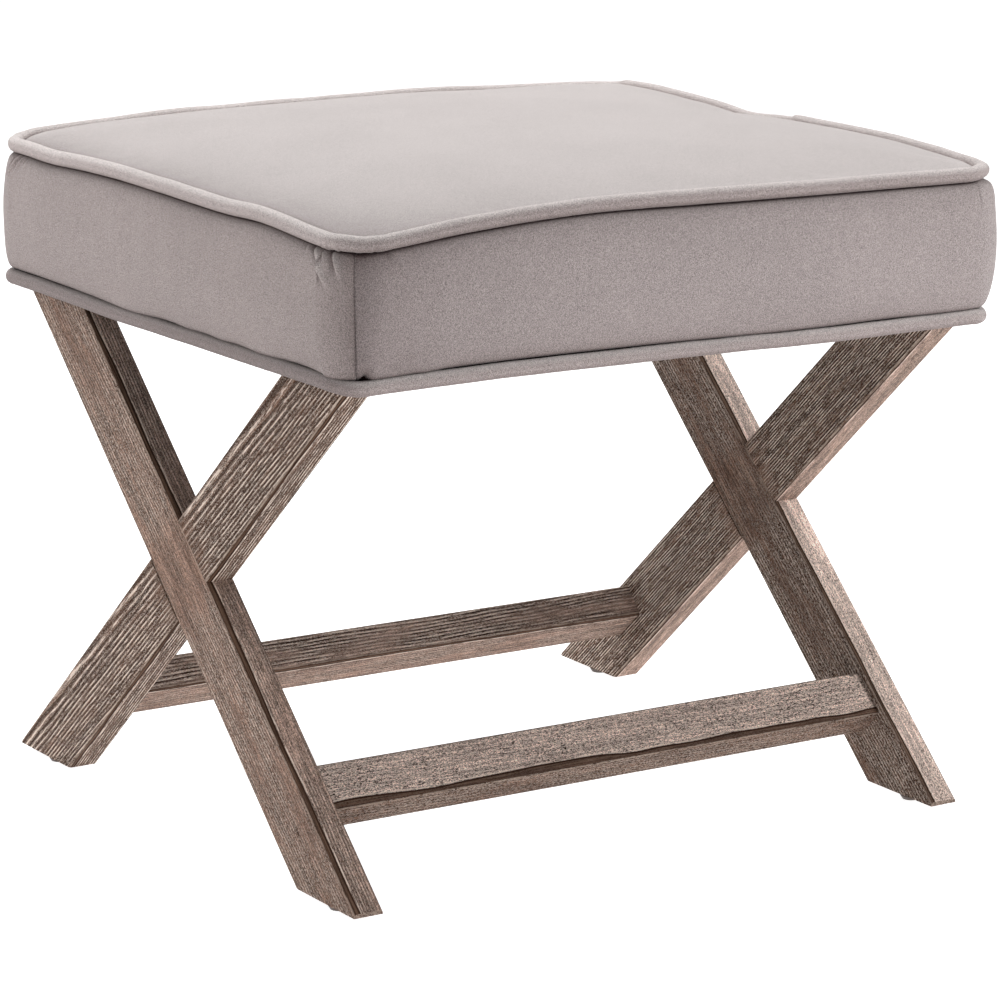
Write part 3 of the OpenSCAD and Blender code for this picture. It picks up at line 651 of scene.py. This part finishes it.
def band_shade(k, s, distance, length):
    """The painted shade of side k's cloth at share s of its height, along both pipings and its seams."""
    end = np.minimum(distance, length - distance)
    is_front = k == 0
    shade = shade_layers(1 - s, UNDER_TOP_FRONT if is_front else UNDER_TOP) + shade_layers(s, OVER_WELT)
    valley_shade = 0.06
    # the front left corner lies in its own shade
    if is_front:
        shade = shade + 0.12 * bell(1 - s, 0.15) * np.exp(-distance / 30) + 0.24 * np.exp(-distance / 55)
        shade += 0.12 * bell(s, 0.05) * np.exp(-distance / 60)
    if k == 3:
        to_seam = length - distance
        shade = shade + 0.04 * bell(1 - s, 0.15) * np.exp(-to_seam / 30) + 0.03 * np.exp(-to_seam / 55)
        valley_shade = valley_shade + 0.11 * np.exp(-to_seam / 60)
    # the seam is drawn tighter towards its foot, and its painted shade deepens there, beating with its
    # stitches
    seam_shade = (0.04 + 0.26 * (1 - s)) * bell(end, SEAM_W) * (0.65 + 0.35 * math.sin(s * SEAM_BEATS))
    return shade + seam_shade + valley_shade * bell(end, VALLEY_W)


def tucked(path, t, edge, up):
    """Two rows that turn a side's edge in behind a piping, so that nothing shows through the seam."""
    hidden = beside(path, t, -HIDDEN_IN, up)
    rows = [edge + (hidden - edge) * f for f in HIDDEN_SHARES]
    rows[0][:, :2] -= outward(t) * 0.35
    return rows


def band(k, name, node, material):
    """One side of the cover's box, with its swell, its tucks at both seams and its gathers."""
    fine, length = even_stations(seam_start(k), seam_start(k) + RUN_N, 2000)
    near = np.linspace(0, SEAM_ZONE, SEAM_COLS)
    middle_cols = np.linspace(SEAM_ZONE, length - SEAM_ZONE, MIDDLE_COLS)[1:-1]
    distance = np.concatenate([near, middle_cols, length - near[::-1]])
    cols = len(distance)
    base = np.interp(distance, np.linspace(0, length, len(fine)), fine)
    crowded = (1 - np.cos(np.linspace(0, math.pi, BAND_ROWS))) / 2
    share = crowded * CROWDED_SHARE + np.linspace(0, 1, BAND_ROWS) * (1 - CROWDED_SHARE)
    end = np.minimum(distance, length - distance)
    corner = np.where(distance < length / 2, k, (k + 1) % 4)
    near_start = np.clip(1 - distance / DRIFT_FADE, 0, 1)
    near_end = np.clip(1 - (length - distance) / DRIFT_FADE, 0, 1)
    seam, valley, puff = bell(end, SEAM_W), bell(end, VALLEY_W), bell(end, PUFF_W)
    over = sum(depth * bell(distance - at, width) for at, width, depth in SAGS[k])
    outer = np.zeros((BAND_ROWS, cols, 3))
    inner = np.zeros_like(outer)
    painted_shade = np.zeros((BAND_ROWS, cols))
    for r, s in enumerate(share):
        t = base + seam_drift(k, s) * near_start + seam_drift((k + 1) % 4, s) * near_end
        middle = boxing_frame(t, s)
        belly = 4 * s * (1 - s)
        spots = np.column_stack([distance, np.full(cols, s * 100), np.zeros(cols)])
        push, fold_shade = gathers(k, distance, (1 - s) * BAND_H)
        push += ripple(spots, SLOW_RIPPLE, 11.0 + k) * SLOW_DEPTH * belly
        push += ripple(spots, QUICK_RIPPLE, 31.0 + k) * QUICK_DEPTH * belly**0.5
        # the slack hangs over the bottom piping
        low_edge = bell(s, SLACK_SHARE)
        push += over * 0.9 * low_edge
        middle[:, 2] -= over * low_edge
        # the corner's cloth is tighter than the sides: it pulls in towards the seam, and puffs beside it
        wide, narrow = (bell(1 - s, reach) for reach in SHOULDER_SHARES)
        shoulder = SHOULDER_DEPTH * wide * (1 - narrow)
        push -= seam * (0.2 + 0.4 * (1 - s)) + valley * VALLEY_DEPTH * belly**0.5
        push += puff * (shoulder * SHOULDERS[corner] - CORNER_TIGHTS[corner] * belly**0.6)
        tuck = TUCK_DEPTH * (bell(s, TUCK_SHARE) + bell(1 - s, TUCK_SHARE))
        out = boxing_swell(s) + push - tuck
        d = outward(t)
        outer[r] = inner[r] = middle
        outer[r, :, :2] += d * out[:, None]
        inner[r, :, :2] += d * (out - CLOTH_T)[:, None]
        # painted shade of the gathers, the pipings, the corner and the seams
        painted_shade[r] = np.clip(fold_shade + band_shade(k, s, distance, length), -0.3, 0.93)
    low, lower = tucked(bottom_path, base, outer[0], HIDDEN_UP)
    high, higher = tucked(top_path, base, outer[-1], -HIDDEN_UP)
    thin = np.column_stack([outward(base) * HIDDEN_T, np.zeros(cols)])
    outer = np.stack([lower, low, *outer, high, higher])
    inner = np.stack([lower - thin, low - thin, *inner, high - thin, higher - thin])
    # the edges hidden behind the pipings are painted in deep shade
    edge = np.full((1, cols), HIDDEN_SHADE)
    painted_shade = np.concatenate([edge, edge, painted_shade, edge, edge])
    points, faces = closed_sheet(outer, inner)
    return make_piece(name, points, faces, material, (node,), np.concatenate([painted_shade.ravel()] * 2))


# The cover's top
PANEL_N, PANEL_STEPS = 84, 400
PANEL_IN, PANEL_DIP, RIM_CROWDING = 0.6, 2.0, 1.25
PANEL_SLOW, PANEL_PUCKER = np.array([0.012, 0.012, 0.0]), np.array([0.075, 0.075, 0.0])
# The slow ripple fades from the first of these shares of the way to the rim, the puckers lie about the
# second, and the edge dips under the piping from the third
CALM_SHARE, PUCKER_SHARE, DIP_SHARE = 0.94, 0.955, 0.985
TINY = 1e-9


def square_rings():
    """A square grid as rings from the middle to the rim: each point's ring, from 0 to 1, and its station."""
    axis = np.linspace(-1, 1, 2 * PANEL_N + 1)
    p, q = np.meshgrid(axis, axis, indexing="ij")
    ring = np.maximum(np.abs(p), np.abs(q))
    safe = np.where(ring == 0, 1, ring)
    a, b = p / safe, q / safe
    k = np.where(b <= -1 + TINY, 0, np.where(a >= 1 - TINY, 1, np.where(b >= 1 - TINY, 2, 3)))
    s = np.choose(k, [a, b, -a, -b])
    t = np.zeros_like(ring)
    for side in range(4):
        fine, _ = even_stations(seam_start(side), seam_start(side) + RUN_N, PANEL_STEPS)
        t[k == side] = np.interp(s[k == side], np.linspace(-1, 1, PANEL_STEPS + 1), fine)
    return ring.ravel(), t.ravel()


def from_share(ring, start):
    """0 up to a share of the way to the rim, then evenly to 1 at the rim."""
    return np.clip((ring - start) / (1 - start), 0, 1)


def panel_shade(t, ring):
    """Painted shade on the top: a line at the rim, and a band beside the piping along the left side and round
    the front left corner, deepest there.
    """
    station = np.mod(t + CORNER_N / 2, 4 * RUN_N) - CORNER_N / 2
    from_corner = np.where(station < RUN_N, station + CORNER_N / 2, 4 * RUN_N - CORNER_N / 2 - station)
    along_left = bell(np.clip(3 * RUN_N - station, 0, None), 2.5)
    shaded_rim = np.where(station < RUN_N, bell(from_corner, 5), along_left)
    from_rim = (1 - ring) * TOP_D / 2
    shade = 0.35 * from_share(ring, 0.99)
    shade += shaded_rim * (0.14 * bell(from_rim, 5) + 0.17 * bell(from_rim, 20))
    shade += 0.07 * bell(from_corner, 5) * bell(from_rim, 50)
    return np.clip(shade, 0, 0.6)


def top_panel(material):
    """The crowned top: square rings of cells that follow the seat's outline and crowd towards its rim."""
    ring, t = square_rings()
    ring = 1 - (1 - ring) ** RIM_CROWDING
    rim = beside(top_path, t, PANEL_IN - PIPING_R, 0)
    fall = (CROWN_Z - (rim[:, 2] + PANEL_LIFT)) * ring**CROWN_POWER
    outer = np.column_stack([rim[:, 0] * ring, rim[:, 1] * ring, CROWN_Z - fall])
    slow, pucker = ripple(outer, PANEL_SLOW, 3.0), ripple(outer, PANEL_PUCKER, 8.0)
    outer[:, 2] += slow * 0.8 * (1 - from_share(ring, CALM_SHARE))
    outer[:, 2] += pucker * 0.5 * bell(ring - PUCKER_SHARE, 0.035)
    outer[:, 2] -= PANEL_DIP * from_share(ring, DIP_SHARE) ** 2
    inner = outer - np.array([0, 0, CLOTH_T])
    n = 2 * PANEL_N + 1
    points, faces = closed_sheet(*(p.reshape(n, n, 3).transpose(1, 0, 2) for p in (outer, inner)))
    painted_shade = panel_shade(t, ring).reshape(n, n).T.ravel()
    return make_piece("cover_top", points, faces, material, ("top_panel",),
                      np.concatenate([painted_shade] * 2))


# The pipings
PIPING_SIDES, PIPING_STEPS = 20, 1280
PIPING_SLOW, PIPING_QUICK = np.array([0.03, 0.03, 1]), np.array([0.22, 0.22, 1])
# The lap's two sides: how much thicker the sleeve is there, and over how many stations that fades
LAP_OVER, LAP_UNDER = (0.5, 0.8), (-1.3, 1.5)


def round_shade(t, values):
    """A value for each side of the seat, front first, that blends from one to the next round the corners."""
    k, j = side_and_place(t)
    f = np.clip((j - SIDE_N) / CORNER_N, 0, 1)
    f = f * f * (3 - 2 * f)
    values = np.array(values)
    return values[k] * (1 - f) + values[(k + 1) % 4] * f


def piping(name, node, path, material, seed, wrinkles, painted_lights, pleats=(), lap_at=None):
    """A cord in its sleeve of cloth, with small dents where the sleeve gathers round the corners, painted
    shade in their furrows and painted highlight on their ridges.

    The pair of lists after wrinkles is how much painted light (+), or painted shade (-), the sleeve's upper
    and lower halves get along the front, right, back and left.
    """
    t, length = even_stations(0, 4 * RUN_N, PIPING_STEPS)
    t = t[:-1]
    turn = np.linspace(0, 2 * math.pi, len(t), endpoint=False)
    loop = np.column_stack([np.cos(turn), np.sin(turn), np.zeros_like(turn)]) * length / (2 * math.pi)
    slow, quick = ripple(loop, PIPING_SLOW, seed), ripple(loop, PIPING_QUICK, seed + 5)
    _, j = side_and_place(t)
    corner = np.where(j >= SIDE_N, np.sin(np.pi * (j - SIDE_N) / CORNER_N) ** 0.5, 0)
    pleat, pleat_shade = np.zeros(len(t)), np.zeros(len(t))
    for place, size, width in pleats:
        line = (t - place) / width
        ridge, furrow = bell(line, 1), bell(line - 1.8, 1)
        pleat += size * (ridge - furrow)
        pleat_shade += size * (0.30 * furrow - 0.20 * ridge)
    lap = 0
    if lap_at is not None:
        over, under = (rise * np.exp(-np.abs(t - lap_at) / fade) for rise, fade in (LAP_OVER, LAP_UNDER))
        lap = np.where(t < lap_at, over, under)
    upper, lower = (round_shade(t, values) for values in painted_lights)
    rings, shades = [], []
    for m in range(PIPING_SIDES):
        a = 2 * math.pi * (m + 0.5) / PIPING_SIDES
        inner_side = 0.6 - 0.4 * math.sin(a)
        high = 0.5 + 0.5 * math.sin(a)
        wrinkle = quick * (0.12 + wrinkles * corner) * (0.6 + 0.4 * math.sin(3 * a))
        r = PIPING_R + slow * 0.12 + wrinkle * 0.5 + pleat * inner_side + lap
        # painted shade and highlight of the pleats, and painted light and shade on the upper and lower halves
        shades.append(pleat_shade * inner_side - upper * high - lower * (1 - high))
        rings.append(beside(path, t, r * math.cos(a), slow * 0.35 + r * math.sin(a)))
    points = np.stack(rings, 1).reshape(-1, 3)
    faces = grid_faces(len(t), PIPING_SIDES, wrap_cols=True, wrap_rows=True)[:, ::-1]
    painted_shade = np.clip(np.stack(shades, 1).ravel(), -0.5, 0.6)
    return make_piece(name, points, faces, material, (node,), painted_shade)


# The thread of the upright seams
STITCH_STEPS, STITCH_SIDES, STITCH_R = 5, 6, 0.28
# The first and last stitch, their pitch and a stitch's rise, as shares of the side's height
STITCH_SHARES, STITCH_RISE_SHARE = np.arange(0.05, 0.95, 0.036), 0.020


def stitch_path(k, s):
    """A stitch's points, up from share s of the seam's height, and the directions along the side and out."""
    path = []
    for f in np.linspace(0, 1, STITCH_STEPS):
        at = s + STITCH_RISE_SHARE * f
        belly = 4 * at * (1 - at)
        t = np.array([seam_start(k) + seam_drift(k, at)])
        out = np.array([*outward(t)[0], 0])
        along = np.array([-out[1], out[0], 0])
        valley = 0.6 + 0.9 * belly**0.5 + CORNER_TIGHTS[k] * belly**0.6
        lift = boxing_swell(at) - valley + 0.25 + 0.5 * math.sin(math.pi * f)
        path.append(boxing_frame(t, at)[0] + out * lift + along * 0.5 * (f - 0.5))
    return path, along, out


def stitches(material):
    """Thread along the four upright seams of the box: short slanting stitches that dip into the seam."""
    points, faces = [], []
    for k in range(4):
        for s in STITCH_SHARES:
            start = len(points)
            path, along, out = stitch_path(k, s)
            for f, p in zip(np.linspace(0, 1, STITCH_STEPS), path):
                r = STITCH_R * (0.5 + 0.5 * math.sin(math.pi * f))
                for m in range(STITCH_SIDES):
                    a = 2 * math.pi * m / STITCH_SIDES
                    points.append(p + along * r * math.cos(a) + out * r * math.sin(a))
            faces += [[start + i for i in f] for f in grid_faces(STITCH_STEPS, STITCH_SIDES, wrap_cols=True)]
            faces.append([start + m for m in range(STITCH_SIDES)][::-1])
            faces.append([start + (STITCH_STEPS - 1) * STITCH_SIDES + m for m in range(STITCH_SIDES)])
    return make_piece("corner_stitches", points, faces, material)


# The padding: rings of points at every half station
RING_T = np.arange(4 * RUN_N * 2) / 2.0
FOAM_INSET, FOAM_CORNER_IN, FOAM_SWELL_POWER, FOAM_FOOT_SHARE = CLOTH_T + 0.8, 4.3, 0.6, 0.06
FOAM_SHARES, FOAM_CROWN_SHARES = (0.2, 0.35, 0.5, 0.65, 0.8), (0.99, 0.95, 0.87, 0.68, 0.36)
WADDING_SHARES = (0.36, 0.68, 0.87, 0.95, 0.985)
WADDING_DEPTH = CLOTH_T + 0.6
WADDING_UNDERSIDE, FOAM_DEPTH = WADDING_DEPTH + 5.8, WADDING_DEPTH + 6.3
CROWN_INSET = 0.4


def crown_ring(g, depth):
    """A ring of points under the cover's top, at share g of the way to its rim."""
    rim = beside(top_path, RING_T, -(PIPING_R + CROWN_INSET), PANEL_LIFT)
    z = CROWN_Z - (CROWN_Z - rim[:, 2]) * g**CROWN_POWER - depth
    return np.column_stack([rim[:, 0] * g, rim[:, 1] * g, z])


def boxing_ring(s):
    """A ring of points inside the cover's sides, at share s of the way up."""
    _, j = side_and_place(RING_T)
    round_corner = np.where(j > SIDE_N, np.sin(np.pi * np.clip(j - SIDE_N, 0, CORNER_N) / CORNER_N), 0)
    swell = BOXING_SWELL * (4 * s * (1 - s)) ** FOAM_SWELL_POWER - BAND_TUCK
    out = swell - FOAM_INSET - FOAM_CORNER_IN * round_corner
    low, high = beside(bottom_path, RING_T, out, PIPING_R), beside(top_path, RING_T, out, -PIPING_R)
    return low + (high - low) * s


def inner_block(name, node, rows, low_pole, high_pole, material):
    """A closed block from rings of points, bottom to top, with a point at each end."""
    n = len(rows[0])
    points = np.concatenate([[low_pole], *rows, [high_pole]])
    faces = [list(f) for f in (grid_faces(len(rows), n, wrap_cols=True) + 1)]
    last = 1 + (len(rows) - 1) * n
    faces += [[0, 1 + (i + 1) % n, 1 + i] for i in range(n)]
    faces += [[last + n, last + i, last + (i + 1) % n] for i in range(n)]
    return make_piece(name, points, faces, material, (node,))


def make_foam(material):
    foot = boxing_ring(FOAM_FOOT_SHARE)
    foot[:, 2] = DECK_Z + DECK_T
    rows = [foot] + [boxing_ring(s) for s in FOAM_SHARES]
    rows += [crown_ring(g, FOAM_DEPTH) for g in FOAM_CROWN_SHARES]
    return inner_block("foam_core", "foam_pad", rows, (0, 0, DECK_Z + DECK_T), (0, 0, CROWN_Z - FOAM_DEPTH),
                       material)


def make_wadding(material):
    rows = [crown_ring(g, WADDING_UNDERSIDE) for g in WADDING_SHARES]
    rows += [crown_ring(g, WADDING_DEPTH) for g in WADDING_SHARES[::-1]]
    return inner_block("wadding_sheet", "wadding", rows, (0, 0, CROWN_Z - WADDING_UNDERSIDE),
                       (0, 0, CROWN_Z - WADDING_DEPTH), material)


# The cloths under the deck
UNDER_INSET = 6
UNDER_L, UNDER_D = SEAT_L / 2 - UNDER_INSET, SEAT_D / 2 - UNDER_INSET
RING_SIDE_N, RING_CORNER_N = 24, 8
HEM_W, HEM_R, HEM_INNER_R = 28, 22, 4
HEM_LOW, HEM_HIGH = DECK_Z - 0.95, DECK_Z - 0.05
DUST_INSET, DUST_R, DUST_T = 6, 16, 0.4
DUST_Z, DUST_MIDDLE_Z, DUST_SAG = DECK_Z - 1.45, 337.6, 3.0
DUST_SHARES, DUST_FLAT_SHARE = (0.15, 0.4, 0.6, 0.8, 0.92, 1.0), 0.8


def rounded_ring(half_l, half_d, r, z):
    """Points round a rounded rectangle, the same count for any size."""
    points = []
    for k in range(4):
        reach, out = (half_l, half_d) if k % 2 == 0 else (half_d, half_l)
        flat = [(x, -out) for x in np.linspace(-(reach - r), reach - r, RING_SIDE_N, endpoint=False)]
        flat += [(reach - r + r * math.cos(a), r - out + r * math.sin(a))
                 for a in np.radians(np.linspace(-90, 0, RING_CORNER_N, endpoint=False))]
        points += [(*quarter_turn(k, x, y), z) for x, y in flat]
    return np.array(points)


def make_hem(material):
    """A flat thin ring: out along its upper face and back along its lower one."""
    outer, inner = (UNDER_L, UNDER_D, HEM_R), (UNDER_L - HEM_W, UNDER_D - HEM_W, HEM_INNER_R)
    rings = [rounded_ring(*outer, HEM_HIGH), rounded_ring(*outer, HEM_LOW),
             rounded_ring(*inner, HEM_LOW), rounded_ring(*inner, HEM_HIGH)]
    points = np.concatenate([r[::-1] for r in rings])
    faces = grid_faces(len(rings), len(rings[0]), wrap_cols=True, wrap_rows=True)
    return make_piece("hem", points, faces, material, ("cover_hem",))


def make_dust_sheet(material):
    """A thin cloth that is flat at its rim and sags a little to its middle."""
    half_l, half_d = UNDER_L - DUST_INSET, UNDER_D - DUST_INSET
    rows = []
    for s in DUST_SHARES:
        sag = 0.0 if s > DUST_FLAT_SHARE else DUST_SAG * (1 - s)
        rows.append(rounded_ring(s * half_l, s * half_d, s * DUST_R, DUST_Z - sag))
    rows += [r + np.array([0, 0, DUST_T]) for r in rows[::-1]]
    low_pole, high_pole = (0, 0, DUST_MIDDLE_Z), (0, 0, DUST_MIDDLE_Z + DUST_T)
    return inner_block("dust_sheet", "dust_cover", rows, low_pole, high_pole, material)


# The bars of the frames
def leg_bar(x, lean):
    """A leg of the frame at x. lean is 1 for a leg with its foot in front, and -1 for one with it behind."""
    up_y, up_z = lean * math.sin(LEG_LEAN), math.cos(LEG_LEAN)
    return Bar((x, 0, CROSS_H), (0, up_y, up_z), (0, up_z, -up_y), LEG_HALF)


def stretcher_bar(lean):
    y = STRETCHER_DOWN * math.sin(LEG_LEAN) + STRETCHER_UP * math.cos(LEG_LEAN)
    z = CROSS_H - STRETCHER_DOWN * math.cos(LEG_LEAN) + STRETCHER_UP * math.sin(LEG_LEAN)
    return Bar((0, -lean * y, z), (1, 0, 0), leg_bar(0, lean).across, STRETCHER_HALF)


scene = bpy.context.scene
scene.view_settings.view_transform = "Standard"
make_camera()

# Cloths and padding
cloth_side = velvet("velvet_side", VELVET, streak=0.012, seed=3.0)
# the front's and the top's velvets are lighter copies with painted light, the top's with painted sheen too
cloth_front = velvet("velvet_front", VELVET_FRONT_LIT, streak=0.006, seed=17.0)
cloth_top = velvet("velvet_panel", PANEL, nap=0.6, seed=29.0, painted_facing_light=False)
cloth_piping = velvet("velvet_piping", VELVET, seed=41.0)
thread = plain("thread", (0.16, 0.135, 0.13), 0.8, grain=0.15, scales=(2.0, 2.0, 2.0), bump=0.3)
foam = plain("foam", (0.80, 0.70, 0.42), 0.9, grain=0.06, scales=(0.9, 0.9, 0.9), bump=0.4)
fleece = plain("wadding", (0.82, 0.82, 0.80), 0.95, grain=0.05, scales=(0.4, 0.4, 0.4), bump=0.5)
dust_cloth = plain("dust_cloth", (0.022, 0.022, 0.025), 0.9, grain=0.25, scales=(0.8, 0.8, 0.8), bump=0.3)

cover_top = top_panel(cloth_top)
boxing = [band(k, f"cover_{side}", f"{side}_band", cloth_side if k % 2 else cloth_front)
          for k, side in enumerate(("front", "right", "back", "left"))]
welt_top = piping("piping_top", "top_piping", top_path, cloth_piping, 2.0, 0.9,
                  ((0.06, 0.06, 0.06, 0.16), (0.0, 0.0, 0.2, 0.46)), PLEATS, LAP_AT)
welt_bottom = piping("piping_bottom", "bottom_piping", bottom_path, cloth_piping, 60.0, 0.5,
                     ((0.20, 0.05, 0.0, -0.30), (0.12, 0.05, 0.0, -0.28)))
seam_thread = stitches(thread)
block = make_foam(foam)
wadding = make_wadding(fleece)
hem = make_hem(cloth_side)
dust_sheet = make_dust_sheet(dust_cloth)

# Wood and hardware: each bar has its own grain, from its pith, its rings' pitch and its seed
# Each Face's first number is its tone together with painted light, set for how brightly that face is lit
WOODS = {
    "left_front_leg": brushed_wood(
        "wood_left_front", leg_bar(-FRAME_X, 1), (-150, -40, 0.03, 0.0), 2.7, 1.0,
        Face(1.13, 0.50, 0.5, 0.60, 0.55, 0.50), Face(1.45, 0.45, 0.6, 0.35, 0.55, 0.55),
        band=(3.6, 5.2), slant=8.0),
    "left_back_leg": brushed_wood(
        "wood_left_back", leg_bar(-FRAME_X, -1), (30, -26, -0.02, 0.01), 2.1, 2.0,
        Face(0.69, 0.90, 0.80, 0.50, 0.15, 0.30), Face(0.74, 1.0, 0.8, 0.50, 0.20, 0.30),
        comb=2.3, roughest=0.8, slant=5.0),
    "right_front_leg": brushed_wood(
        "wood_right_front", leg_bar(FRAME_X, 1), (-170, -60, 0.02, 0.0), 2.5, 3.0,
        Face(0.74, 0.65, 0.6, 0.80, 0.60, 0.55), Face(2.85, 0.20, 0.2, 1.0, 0.80, 0.45), slant=8.0),
    "right_back_leg": brushed_wood(
        "wood_right_back", leg_bar(FRAME_X, -1), (-260, 10, 0.0, 0.0), 2.0, 4.0,
        Face(0.88, 1.0, 1.0, 0.50, 0.30, 0.40), Face(1.45, 0.1, 0.1, 0.25, 0.30, 0.45),
        band=(1.2, 2.0), roughest=1.0, slant=3.0),
    "front_stretcher": brushed_wood(
        "wood_front_stretcher", stretcher_bar(1), (90, -60, 0.012, 0.0), 2.7, 5.0,
        Face(0.76, 0.3, 0.2, 0.6, 0.5, 0.80), Face(2.40, 0.40, 0.3, 1.0, 1.00, 0.70),
        comb=3.4, dark_side=-1.0, band=(3.4, 6.4), roughest=0.6, calm=False),
    "back_stretcher": brushed_wood(
        "wood_back_stretcher", stretcher_bar(-1), (-90, 45, 0.015, 0.0), 2.8, 6.0,
        Face(1.42, 1.0, 1.0, 0.7, 0.5, 0.40), Face(1.30, 0.35, 0.3, 0.45, 0.5, 0.50), comb=3.0, calm=False),
    "stretcher_dowels": plain("dowel_wood", (0.55, 0.40, 0.24), 0.6, grain=0.1, scales=(0.05, 0.8, 0.8)),
    "seat_deck": plain("plywood", (0.52, 0.38, 0.23), 0.7, grain=0.12, scales=(0.01, 0.35, 0.9), bump=0.15),
}
zinc = plain("zinc_steel", (0.55, 0.56, 0.58), 0.38, metal=1.0, grain=0.06, scales=(0.2, 0.2, 0.2), bump=0.03)
glide = plain("glide_plastic", (0.10, 0.075, 0.065), 0.45, grain=0.05, scales=(0.6, 0.6, 0.6), bump=0.05)
for node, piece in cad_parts.items():
    finish = WOODS.get(node) or (glide if node.endswith("_glide") else zinc)
    piece.data.materials.clear()
    piece.data.materials.append(finish)

make_world()
make_floor()
for light in LIGHTS:
    make_light(*light)
